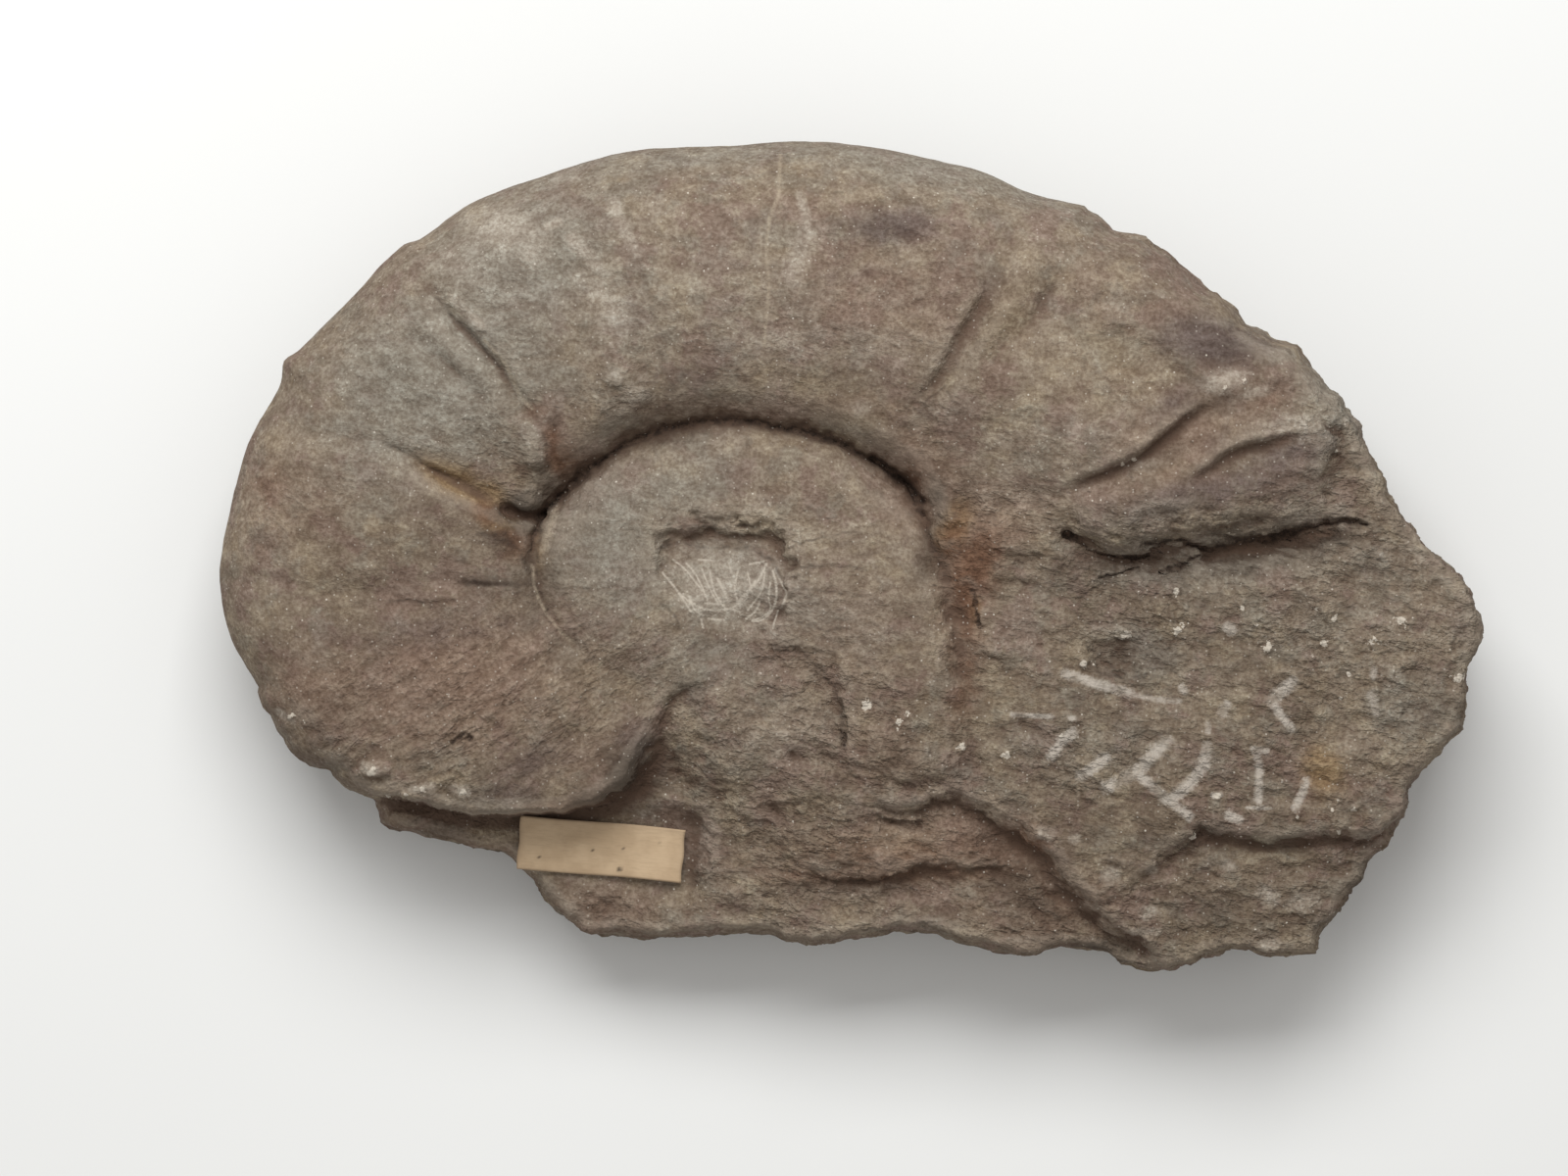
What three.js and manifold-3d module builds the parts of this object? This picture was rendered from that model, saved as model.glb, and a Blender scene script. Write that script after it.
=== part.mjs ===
import * as THREE from "three";
import Module from "manifold-3d";
import { mergeVertices } from "three/addons/utils/BufferGeometryUtils.js";

// A fossil ammonite lying on its side in the loose piece of rock that it was found in, with a
// small blank paper label glued to the rock. The shell's mould and its matrix are one stone.
// Millimetres. X runs along the stone, Y up the face of the shell and Z off the resting face.
// Angles are in degrees, anticlockwise from +X, about the shell's axis of coiling.

const AXIS = new THREE.Vector2(-26.5, -6.5); // where the shell's axis of coiling meets the face

// The outer edge of the shell, from the old end at the lower left, over the top, to the right.
const VENTER = [
  [-126.5, -28], [-132.5, -17.5], [-135, -4.5], [-133, 8], [-129, 23.5], [-122, 37], [-121, 42],
  [-118, 44], [-109, 53], [-95, 67], [-92, 68], [-81, 75.5], [-64, 82], [-45.5, 87], [-26.5, 88],
  [-7.5, 89], [11.5, 86.5], [28, 82.5], [38.5, 78], [50.5, 75],
];
// The broken edge of the rock, on from there, down the right side and back along the bottom.
const BROKEN_EDGE = [
  [56.5, 70], [65, 67], [70, 63.5], [80.5, 55.5], [91, 46.5], [96, 45], [102, 37], [105.5, 34],
  [107.5, 30], [110.5, 24], [115, 14], [123.5, 1.5], [127.5, -2], [134.5, -13], [135, -16],
  [132.5, -22.5], [131, -37], [125, -43.5], [120.5, -48.5], [119.5, -54], [116, -61.5],
  [111.5, -65.5], [106, -75], [100.5, -85], [98.5, -85.5], [82.5, -84.5], [70, -89], [62.5, -89],
  [55.5, -85.5], [40.5, -86], [24, -83], [13.5, -81], [-3.5, -84], [-9.5, -84], [-22, -81.5],
  [-43, -83], [-56, -82], [-64, -76], [-71.5, -67], [-75.5, -63.5], [-87, -62], [-97.5, -59.5],
  [-101, -58], [-103.5, -52], [-108, -50], [-111.5, -46], [-115.5, -45], [-119.5, -42],
  [-123, -36.5], [-126, -32],
];
const VENTER_STEPS = 60;

// The rounded side of the stone by angle: how far in from the edge it starts, the level of its
// widest line, and how far the resting face stands back under it.
const SIDE_WIDTH = [
  [0, 4], [14, 5], [30, 13], [50, 20], [120, 20], [180, 18], [200, 11], [212, 5], [235, 4],
  [270, 5], [320, 5], [345, 4],
];
const SIDE_LEVEL = [
  [0, 21], [14, 22], [40, 26], [90, 25], [180, 23], [200, 22], [212, 11], [235, 9], [270, 10],
  [310, 14], [320, 16], [345, 20],
];
const UNDER_WIDTH = [
  [0, 8], [30, 16], [60, 26], [120, 27], [180, 24], [205, 14], [235, 7], [290, 7], [345, 8],
];

// The shell: its seam, where the outer whorl meets the whorl inside it, and the central pit.
const SEAM_RADIUS = [
  [0, 49], [20, 45], [45, 40.5], [70, 36], [97, 35.3], [125, 36.6], [150, 39.8], [163, 41.6],
  [180, 39.4], [198, 35.3], [215, 31], [240, 29], [270, 45], [300, 70], [318, 71], [333, 63],
  [345, 55],
];
const SEAM_LEVEL = [
  [0, 40], [20, 39], [45, 37], [90, 34.5], [130, 34], [150, 32.5], [158, 35], [172, 38.5],
  [200, 39.5], [240, 38], [300, 38], [330, 38.5],
];
const INNER_CREST = [
  [0, 44.5], [60, 43], [90, 42], [150, 42], [200, 42], [260, 39.5], [300, 40], [330, 42],
];
const PIT_RADIUS = [
  [0, 13.2], [39, 14.6], [84, 10], [136, 14], [160, 14], [190, 9.5], [235, 7.5], [280, 7.8],
  [323, 13],
];
const PIT_DROP = [[0, 2], [40, 4.5], [85, 6.5], [140, 4.5], [170, 2.5], [230, 1], [300, 2]];
const PIT_MEAN_DROP = 4;
const INNER_MEAN_CREST = 42;
const PIT_WALL = 6; // plan width of the wall round the pit
const INNER_SHOULDER = 9; // plan width over which the inner whorl rises from the seam
const UMBILICAL_WALL = 11; // plan width over which the outer whorl rises from the seam
const CREST = 49; // level of the outer whorl's flank straight above the axis
const CREST_GROWTH = 0.0013; // its growth for each degree towards the mouth
const FLANK_DROP = 5; // how far the flank falls from its crest to the rounded side
const FLANK_CREST_AT = 0.36; // where the crest lies, as a share of the whorl's height

// Grooves and ribs across the flank: [points, half width, height]. Grooves have heights below 0.
const FLANK_RELIEF = [
  [[[4, 28], [13.5, 37], [25, 50], [31, 64]], 3.6, -2.2],
  [[[19.5, 28], [30, 41.5], [40.5, 55], [47.5, 64]], 3.4, -1.4],
  [[[28, 10], [45, 14], [61.5, 22], [71, 30], [81.5, 35.5]], 3.8, -3.8],
  [[[59.5, 13], [75.5, 19], [82.5, 23], [98.5, 26.5]], 3.2, -3.2],
  [[[-69.5, 10], [-81, 16], [-95.5, 23.5], [-110.5, 28]], 3, -2],
  [[[-72.5, 30], [-81, 38.5], [-90.5, 46.5]], 3, -1.6],
  [[[-66.5, 31.5], [-75.5, 42.5], [-86, 54]], 2.6, -1.4],
  [[[-76.5, -7], [-97.5, -4.5], [-116.5, -7]], 3, -1],
  [[[-79, -11], [-93.5, -8.5], [-109, -11.5]], 3, -1],
  [[[-64, 11], [-69.5, 9.5], [-73.5, 10]], 3, -6],
  [[[69, 45.5], [76.5, 45], [83.5, 43.5]], 4, -2],
  [[[13.5, 31], [25, 42.5], [38.5, 58]], 4, 1.2],
  [[[40.5, 11], [59.5, 16], [74, 25.5], [89, 30]], 3, 1.5],
  [[[51, 7], [70, 11], [91, 19.5], [101.5, 22.5]], 6, 2.5],
  [[[38, -1], [47, 2], [62.5, -1], [82.5, 1.5], [109, 6.5]], 8, -6.5],
  [[[45, 28], [62, 38]], 12, 2],
  [[[55.5, 52], [62.5, 48], [68, 43.5], [73, 37], [82.5, 38.5]], 2.6, 1.4],
  [[[-69, 36], [-78, 48.5]], 3, 0.9],
  [[[-67.5, 22], [-66, 23]], 3.2, 2.2],
  [[[-50, 38.5], [-45.5, 35]], 3, 1.4],
];

// Where the shell's surface is kept: corners [x, y, plan width of the broken wall that ends it].
const KEPT_SHELL = [
  [-134.5, -60, 4], [-104, -52, 4], [-97.5, -52, 3.5], [-87, -52, 3.5], [-79, -53.5, 3],
  [-70.5, -54.5, 3], [-65, -54, 3], [-58, -52.5, 4], [-51.5, -50, 6], [-45.5, -47.5, 8],
  [-41.5, -42.5, 9], [-38.5, -36.5, 8], [-37, -31, 6], [-36.5, -27.5, 3], [-30.5, -25.5, 2.5],
  [-22, -21, 2.5], [-16, -17.5, 2.5], [-7.5, -18.5, 2.5], [-2.5, -21, 3], [1.5, -28, 3.5],
  [0, -36, 3], [-0.5, -43.5, 3], [3.5, -48.5, 3], [8, -53, 4], [15.5, -56.5, 5], [26, -48.5, 6],
  [29, -36, 7], [28, -25.5, 9], [30, -15, 12], [34.5, -4.5, 12], [40.5, 1, 8], [47, 3, 4],
  [55.5, -0.5, 3], [62.5, 0, 3], [67, 2.5, 3], [75.5, 2, 3], [82.5, 2.5, 3], [91, 4, 3],
  [100.5, 6, 3], [109, 7.5, 4], [106, 13, 6], [104.5, 18.5, 8], [106.5, 25.5, 8], [112, 29, 6],
  [150, 45, 6], [150, 130, 6], [-170, 130, 6], [-170, -60, 4],
];
// The upper level of the rock, right of and below the shell, and the lower shelf beside it.
const RIGHT_BLOCK = [
  [-0.5, -43.5, 3], [3.5, -48.5, 3], [8, -53.5, 3], [15.5, -56.5, 3], [19.5, -53.5, 3],
  [25, -53, 3], [30.5, -56.5, 3], [37.5, -60.5, 4], [41, -64, 4], [46, -69, 5], [49, -73, 5],
  [51.5, -74, 4], [59.5, -71, 4], [66, -68, 4], [71, -63.5, 4], [76, -59, 3], [83, -60.5, 3],
  [91, -61, 3], [101.5, -60, 3], [112, -59, 3], [121.5, -54, 3], [170, -54, 3], [170, 100, 3],
  [-0.5, 100, 3],
];
const LOWER_SHELF = [
  [44, -60, 5], [50, -77, 5], [54.5, -80, 5], [59.5, -82, 5], [58, -120, 5], [170, -120, 5],
  [170, -40, 5], [44, -40, 5],
];
// Bedding ledges in the rock: the ground drops along the right-hand side of each line of points.
const LEDGES = [
  [[[37.5, -65.5], [28, -66.5], [17.5, -66.5], [11.5, -68], [3, -69.5], [-10.5, -68]], 9, 2.6],
  [[[28, -6], [38, -5], [48, -3]], 6, 1.6],
  [[[62, -27], [56, -25], [49, -23]], 7, 2],
];
// Planes that the rock keeps to: the level at (x, y) and the slopes along X and Y.
const GROUND = { x: 0, y: -55, level: 27, slopeX: 0, slopeY: 0.22 };
const SHELF = { x: 70, y: -72, level: 30, slopeX: -0.03, slopeY: 0.08 };
const BLOCK = { x: 30, y: 0, level: 40.5, slopeX: -0.05, slopeY: 0 };
// Left of LEFT_SHELF_X the lower ground is a narrow shelf under the shell.
const LEFT_SHELF_X = -73;
const LEFT_SHELF_DROP = 5;
const LEFT_SHELF_BLEND = 6;
// Gentle rises and hollows in the rock: [x, y, reach along X, reach along Y, height].
const MOUNDS = [
  [-17, -38, 13, 14, 2.5],
  [-37, -46, 8, 6, -1.5],
  [78, 0, 45, 9, -1.5],
];
// Unevenness of the shell's flank and of the rock: [height, size of the humps, seed].
const SHELL_UNEVENNESS = [[0.5, 30, 3]];
const ROCK_UNEVENNESS = [[0.8, 26, 11], [0.4, 11, 5]];

// The label, and how it lies: its centre, its turn in plan and its slope with the ground.
const LABEL = { length: 35.4, width: 11.8, thickness: 0.5, x: -53, y: -62.6, turn: -5.1 };
const LABEL_GAP = 0.3;
const LABEL_BED_MARGIN = 4;
const LABEL_POCKET_MARGIN = 0.6;
const LABEL_POCKET_HEIGHT = 24;

// Fineness of the stone's faces.
const PIT_RINGS = 5;
const SEAM_RINGS = 13;
const RINGS = 31;
const OUTER_CROWDING = 1.2; // above 1 puts more rings on the umbilical wall
const SIDE_RINGS_ABOVE = 4;
const SIDE_RINGS_BELOW = 3;
const UNDER_SHARES = [0.75, 0.5, 0.22];

const WALL_SPREAD = 1.5; // added to each side of a broken wall, so that the faces can follow it

const clamp = (u) => Math.min(1, Math.max(0, u));
const smooth = (u) => clamp(u) ** 2 * (3 - 2 * clamp(u));
const brow = (u) => 1 - (1 - clamp(u)) ** 2; // steep at its foot, round at the top
const mix = (a, b, share) => a + (b - a) * share;

// A value given at some angles, eased round the full circle between them.
function byAngle(table, degrees) {
  const angle = ((degrees % 360) + 360) % 360;
  let next = table.findIndex(([at]) => at > angle);
  if (next < 0) next = table.length;
  const [a, from] = table[(next + table.length - 1) % table.length];
  const [b, to] = table[next % table.length];
  const span = (b - a + 360) % 360;
  return mix(from, to, smooth(((angle - a + 360) % 360) / span));
}

// The nearest place on a line of points: its distance, how far along it lies, its width where
// the points carry one, and the side that (x, y) is on, above 0 on the left.
function nearest(points, x, y, closed = false) {
  const count = closed ? points.length : points.length - 1;
  let best = { distance: Infinity };
  for (let i = 0; i < count; i++) {
    const [ax, ay, aWidth = 0] = points[i];
    const [bx, by, bWidth = 0] = points[(i + 1) % points.length];
    const [dx, dy] = [bx - ax, by - ay];
    const share = clamp(((x - ax) * dx + (y - ay) * dy) / (dx * dx + dy * dy));
    const distance = Math.hypot(x - ax - share * dx, y - ay - share * dy);
    if (distance < best.distance) {
      const side = dx * (y - ay) - dy * (x - ax);
      best = { distance, along: (i + share) / count, width: mix(aWidth, bWidth, share), side };
    }
  }
  return best;
}

function isInside(corners, x, y) {
  let inside = false;
  corners.forEach(([ax, ay], i) => {
    const [bx, by] = corners[(i + 1) % corners.length];
    if (ay > y !== by > y && x < ax + ((bx - ax) * (y - ay)) / (by - ay)) inside = !inside;
  });
  return inside;
}

// How much of a raised area is present at (x, y): 0 outside it, 1 past the wall at its edge.
function raised(corners, x, y) {
  const edge = nearest(corners, x, y, true);
  const depth = isInside(corners, x, y) ? edge.distance : -edge.distance;
  return smooth((depth + WALL_SPREAD) / (edge.width + 2 * WALL_SPREAD));
}

// Gentle unevenness: for each [height, size, seed], waves in directions spread by the golden angle.
const WAVES = 5;
const GOLDEN_ANGLE = Math.PI * (3 - Math.sqrt(5));
function unevenness(layers, x, y) {
  let level = 0;
  for (const [height, size, seed] of layers) {
    for (let i = seed; i < seed + WAVES; i++) {
      const turn = i * GOLDEN_ANGLE;
      const pitch = ((2 * Math.PI) / size) * (0.7 + (0.15 * (i - seed)));
      const phase = pitch * (x * Math.cos(turn) + y * Math.sin(turn)) + 4 * i;
      level += (height * Math.sin(phase)) / Math.sqrt(2 * WAVES);
    }
  }
  return level;
}

// The stone's plan outline as a closed run of points, and its radius from the axis by angle.
const venterCurve = new THREE.CatmullRomCurve3(
  VENTER.map(([x, y]) => new THREE.Vector3(x, y, 0)), false, "centripetal",
);
const outline = [
  ...venterCurve.getSpacedPoints(VENTER_STEPS).map((p) => [p.x, p.y]),
  ...BROKEN_EDGE,
];
const outlineSteps = outline.map(([x, y], i) => {
  const [nx, ny] = outline[(i + 1) % outline.length];
  return Math.hypot(nx - x, ny - y);
});
const outlineLength = outlineSteps.reduce((sum, step) => sum + step, 0);

// The outline's point at a share of the way round, with its angle and radius about the axis.
function outlineAt(share) {
  let left = (share % 1) * outlineLength;
  let i = 0;
  while (left > outlineSteps[i] && i < outline.length - 1) left -= outlineSteps[i++];
  const [ax, ay] = outline[i];
  const [bx, by] = outline[(i + 1) % outline.length];
  const x = mix(ax, bx, left / outlineSteps[i]) - AXIS.x;
  const y = mix(ay, by, left / outlineSteps[i]) - AXIS.y;
  return { angle: THREE.MathUtils.radToDeg(Math.atan2(y, x)), radius: Math.hypot(x, y) };
}

const outlineByAngle = outline
  .map(([x, y]) => [
    (THREE.MathUtils.radToDeg(Math.atan2(y - AXIS.y, x - AXIS.x)) + 360) % 360,
    Math.hypot(x - AXIS.x, y - AXIS.y),
  ])
  .sort((a, b) => a[0] - b[0]);

const planeLevel = ({ x: atX, y: atY, level, slopeX, slopeY }, x, y) =>
  level + slopeX * (x - atX) + slopeY * (y - atY);

// Level of the kept shell surface: the outer whorl, the whorl inside it and the pit.
function shellLevel(x, y) {
  const radius = Math.hypot(x - AXIS.x, y - AXIS.y);
  const angle = THREE.MathUtils.radToDeg(Math.atan2(y - AXIS.y, x - AXIS.x));
  const seam = byAngle(SEAM_RADIUS, angle);
  const seamLevel = byAngle(SEAM_LEVEL, angle);
  if (radius < seam) {
    const pit = byAngle(PIT_RADIUS, angle);
    const off = smooth(radius / pit);
    const crest = mix(INNER_MEAN_CREST, byAngle(INNER_CREST, angle), off);
    const drop = mix(PIT_MEAN_DROP, byAngle(PIT_DROP, angle), off);
    const rise = brow((seam - radius) / INNER_SHOULDER);
    return mix(seamLevel, crest, rise) - drop * (1 - brow((radius - pit) / PIT_WALL));
  }
  const turned = angle < -110 ? angle + 360 : angle; // on from the mouth back to the old end
  const crest = CREST * Math.exp(CREST_GROWTH * (90 - turned));
  const height = (radius - seam) / (byAngle(outlineByAngle, angle) - seam);
  const past = clamp((height - FLANK_CREST_AT) / (1 - FLANK_CREST_AT));
  let level = mix(seamLevel, crest - FLANK_DROP * past ** 2, brow((radius - seam) / UMBILICAL_WALL));
  for (const [points, width, relief] of FLANK_RELIEF) {
    const line = nearest(points, x, y);
    level += relief * Math.exp(-((line.distance / width) ** 2));
  }
  return level + unevenness(SHELL_UNEVENNESS, x, y);
}

// Level of the bare rock: the lower ground, the shelf and the block at the right.
function rockLevel(x, y) {
  let level = planeLevel(GROUND, x, y);
  level -= LEFT_SHELF_DROP * smooth((LEFT_SHELF_X - x) / LEFT_SHELF_BLEND);
  level = mix(level, planeLevel(SHELF, x, y), raised(LOWER_SHELF, x, y));
  level = mix(level, planeLevel(BLOCK, x, y), raised(RIGHT_BLOCK, x, y));
  for (const [atX, atY, reachX, reachY, height] of MOUNDS) {
    level += height * Math.exp(-(((x - atX) / reachX) ** 2) - ((y - atY) / reachY) ** 2);
  }
  for (const [points, reach, drop] of LEDGES) {
    const line = nearest(points, x, y);
    const ends = smooth(4 * line.along) * smooth(4 * (1 - line.along));
    const below = line.side < 0 ? line.distance : -line.distance;
    const past = smooth((below + WALL_SPREAD) / (2 * WALL_SPREAD));
    level -= drop * ends * past * Math.exp(-((line.distance / reach) ** 2));
  }
  return level + unevenness(ROCK_UNEVENNESS, x, y);
}

// How much the stone keeps to the plane of the ground at (x, y), which the label lies on.
const labelTurn = THREE.MathUtils.degToRad(LABEL.turn);
function labelBed(x, y) {
  const [dx, dy] = [x - LABEL.x, y - LABEL.y];
  const along = Math.abs(dx * Math.cos(labelTurn) + dy * Math.sin(labelTurn));
  const across = Math.abs(dy * Math.cos(labelTurn) - dx * Math.sin(labelTurn));
  const beyond = Math.hypot(
    Math.max(0, along - LABEL.length / 2), Math.max(0, across - LABEL.width / 2),
  );
  return 1 - smooth((beyond - LABEL_BED_MARGIN) / LABEL_BED_MARGIN);
}

function topLevel(x, y) {
  const level = mix(rockLevel(x, y), shellLevel(x, y), raised(KEPT_SHELL, x, y));
  return mix(level, Math.min(level, planeLevel(GROUND, x, y)), labelBed(x, y));
}

// Radius of ring number `ring` of the face: the rings follow the pit, then the seam, then the
// line where the side begins to round over.
function ringRadius(ring, angle, radius) {
  const pit = byAngle(PIT_RADIUS, angle);
  const seam = byAngle(SEAM_RADIUS, angle);
  const side = radius - byAngle(SIDE_WIDTH, angle);
  if (ring <= PIT_RINGS) return (pit * ring) / PIT_RINGS;
  if (ring <= SEAM_RINGS) return mix(pit, seam, (ring - PIT_RINGS) / (SEAM_RINGS - PIT_RINGS));
  return mix(seam, side, ((ring - SEAM_RINGS) / (RINGS - SEAM_RINGS)) ** OUTER_CROWDING);
}

// Closed rings of vertices from the middle of the face, over the side, to the resting face.
function stoneRings() {
  const rings = [];
  const around = (count, place) =>
    rings.push(Array.from({ length: count }, (_, j) => {
      const { angle, radius } = outlineAt(j / count);
      const turn = THREE.MathUtils.degToRad(angle);
      const [r, level] = place(angle, radius, (q) => [
        AXIS.x + q * Math.cos(turn), AXIS.y + q * Math.sin(turn),
      ]);
      return [AXIS.x + r * Math.cos(turn), AXIS.y + r * Math.sin(turn), level];
    }));

  for (let ring = 1; ring <= RINGS; ring++) {
    around(6 * ring, (angle, radius, at) => {
      const r = ringRadius(ring, angle, radius);
      return [r, topLevel(...at(r))];
    });
  }
  for (let step = 1; step <= SIDE_RINGS_ABOVE; step++) {
    const turn = (Math.PI / 2) * (1 - step / SIDE_RINGS_ABOVE);
    around(6 * RINGS, (angle, radius, at) => {
      const r = radius - byAngle(SIDE_WIDTH, angle) * (1 - Math.cos(turn));
      return [r, mix(byAngle(SIDE_LEVEL, angle), topLevel(...at(r)), Math.sin(turn))];
    });
  }
  for (let step = 1; step <= SIDE_RINGS_BELOW; step++) {
    const turn = (Math.PI / 2) * (step / SIDE_RINGS_BELOW);
    around(step < SIDE_RINGS_BELOW ? 6 * RINGS : 3 * RINGS, (angle, radius) => [
      radius - byAngle(UNDER_WIDTH, angle) * (1 - Math.cos(turn)),
      byAngle(SIDE_LEVEL, angle) * (1 - Math.sin(turn)),
    ]);
  }
  for (const share of UNDER_SHARES) {
    around(Math.round(3 * RINGS * share), (angle, radius) => [
      (radius - byAngle(UNDER_WIDTH, angle)) * share, 0,
    ]);
  }
  return rings;
}

// Faces between two closed rings that start at the same angle, walking round both together.
function joinRings(inner, innerStart, outer, outerStart, faces) {
  let [i, j] = [0, 0];
  while (i < inner || j < outer) {
    const a = innerStart + (i % inner);
    const b = outerStart + (j % outer);
    if (j < outer && (i === inner || (j + 1) / outer <= (i + 1) / inner)) {
      faces.push(a, b, outerStart + (++j % outer));
    } else {
      faces.push(a, b, innerStart + (++i % inner));
    }
  }
}

function stoneGeometry() {
  const rings = stoneRings();
  const middle = [AXIS.x, AXIS.y, topLevel(AXIS.x, AXIS.y)];
  const vertices = [middle, ...rings.flat(), [AXIS.x, AXIS.y, 0]];
  const faces = [];
  const first = rings[0].length;
  for (let j = 0; j < first; j++) faces.push(0, 1 + j, 1 + ((j + 1) % first));
  let start = 1;
  for (let k = 1; k < rings.length; k++) {
    const next = start + rings[k - 1].length;
    joinRings(rings[k - 1].length, start, rings[k].length, next, faces);
    start = next;
  }
  const last = rings.at(-1).length;
  const under = vertices.length - 1;
  for (let j = 0; j < last; j++) faces.push(under, start + ((j + 1) % last), start + j);
  // The outline runs clockwise seen from above, so each face is turned over to point out.
  for (let f = 0; f < faces.length; f += 3) {
    [faces[f + 1], faces[f + 2]] = [faces[f + 2], faces[f + 1]];
  }
  return new THREE.BufferGeometry()
    .setAttribute("position", new THREE.Float32BufferAttribute(vertices.flat(), 3))
    .setIndex(faces);
}

const wasm = await Module();
wasm.setup();

function solidOf(geometry) {
  const bare = geometry.clone();
  bare.deleteAttribute("normal");
  bare.deleteAttribute("uv");
  const merged = mergeVertices(bare, 1e-4);
  return new wasm.Manifold(new wasm.Mesh({
    numProp: 3,
    vertProperties: merged.attributes.position.array,
    triVerts: new Uint32Array(merged.index.array),
  }));
}

function geometryOf(solid) {
  const mesh = solid.getMesh();
  return new THREE.BufferGeometry()
    .setAttribute("position", new THREE.BufferAttribute(mesh.vertProperties.slice(), 3))
    .setIndex(new THREE.BufferAttribute(mesh.triVerts.slice(), 1));
}

// Places something that stands `lift` off the middle of the label's bed, square to it.
function placeOnBed(object, lift) {
  const slope = Math.atan(GROUND.slopeY);
  object.rotation.set(slope, 0, labelTurn, "XYZ");
  const level = planeLevel(GROUND, LABEL.x, LABEL.y);
  object.position.set(LABEL.x, LABEL.y - lift * Math.sin(slope), level + lift * Math.cos(slope));
  object.updateMatrix();
  return object;
}

const stoneMaterial = new THREE.MeshStandardMaterial({
  color: 0x87796a, roughness: 0.92, metalness: 0,
});
const paperMaterial = new THREE.MeshStandardMaterial({
  color: 0xb39b80, roughness: 0.8, metalness: 0,
});

// A shallow pocket keeps the stone clear of the label all over its bed.
function stone() {
  const margin = 2 * LABEL_POCKET_MARGIN;
  const pocket = placeOnBed(
    new THREE.Mesh(new THREE.BoxGeometry(
      LABEL.length + margin, LABEL.width + margin, LABEL_POCKET_HEIGHT,
    )),
    LABEL_POCKET_HEIGHT / 2,
  );
  const pocketSolid = solidOf(pocket.geometry.applyMatrix4(pocket.matrix));
  const cut = solidOf(stoneGeometry()).subtract(pocketSolid);
  const mesh = new THREE.Mesh(geometryOf(cut), stoneMaterial);
  mesh.name = "ammonite_stone";
  return mesh;
}

function paperLabel() {
  const strip = new THREE.BoxGeometry(LABEL.length, LABEL.width, LABEL.thickness);
  const mesh = placeOnBed(new THREE.Mesh(strip, paperMaterial), LABEL_GAP + LABEL.thickness / 2);
  mesh.name = "paper_label";
  return mesh;
}

// The group's origin is the middle of the stone's box, on the resting face.
const fossil = new THREE.Group();
fossil.name = "fossil_ammonite";
fossil.add(stone(), paperLabel());
const box = new THREE.Box3().setFromObject(fossil);
for (const piece of fossil.children) {
  piece.position.x -= (box.min.x + box.max.x) / 2;
  piece.position.y -= (box.min.y + box.max.y) / 2;
}

export default fossil;
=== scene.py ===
"""A fossil ammonite lying on its side in the loose piece of rock that it was found in.

The shell's mould and its rock are one stone, and a blank paper label is glued to the rock.
Sizes are in millimetres, in the plan of the stone: X along it, Y up the face of the shell and Z
off the face that it rests on. Angles are in degrees, anticlockwise from +X, about the coil's axis.
"""

import math

import bpy
import numpy as np
from mathutils import Euler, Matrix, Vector


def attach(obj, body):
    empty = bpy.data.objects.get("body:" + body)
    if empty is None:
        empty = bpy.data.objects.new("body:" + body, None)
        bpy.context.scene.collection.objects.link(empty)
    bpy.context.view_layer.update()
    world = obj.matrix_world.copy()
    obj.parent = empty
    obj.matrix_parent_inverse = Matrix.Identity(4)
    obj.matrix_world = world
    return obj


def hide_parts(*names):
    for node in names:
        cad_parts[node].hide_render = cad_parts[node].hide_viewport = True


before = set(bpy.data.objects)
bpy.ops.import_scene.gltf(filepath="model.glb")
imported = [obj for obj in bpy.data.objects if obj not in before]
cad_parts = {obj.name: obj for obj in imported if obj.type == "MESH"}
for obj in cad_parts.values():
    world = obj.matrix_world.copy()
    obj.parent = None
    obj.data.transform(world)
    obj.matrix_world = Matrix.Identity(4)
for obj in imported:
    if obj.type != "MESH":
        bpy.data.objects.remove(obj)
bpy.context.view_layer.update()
MM = 0.001

# The camera and its view of the stone, looking straight down
CAMERA_AIM = (-13.8, -6.8, 28.0)
CAMERA_HEIGHT = 1200.0
CAMERA_REACH = 20.0  # metres
VIEW_WIDTH = 335.4
SENSOR_WIDTH = 36.0

# The light: even from all round, and a wide window. Places and sizes in metres, power in watts
ROOM_COLOR = (0.985, 0.975, 0.957)
ROOM_STRENGTH = 0.56
WINDOW_PLACE = (-0.12, 0.78, 0.92)
WINDOW_AIM = (0, 0, 0.02)
WINDOW_SIZE = (1.0, 0.6)
WINDOW_POWER = 16.6
WINDOW_COLOR = (0.99, 1.0, 1.0)
FLOOR_SIZE = 6.0

AXIS = np.array([-26.5, -6.5])  # where the axis of coiling meets the face

# The outer edge of the shell, from the old end at the lower left, over the top, to the right
VENTER = [
    (-126.5, -28), (-132.5, -17.5), (-135, -4.5), (-133, 8), (-129, 23.5), (-122, 37), (-121, 42),
    (-118, 44), (-109, 53), (-95, 67), (-92, 68), (-81, 75.5), (-64, 82), (-45.5, 87), (-26.5, 88),
    (-7.5, 89), (11.5, 86.5), (28, 82.5), (38.5, 78), (50.5, 75),
]
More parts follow.
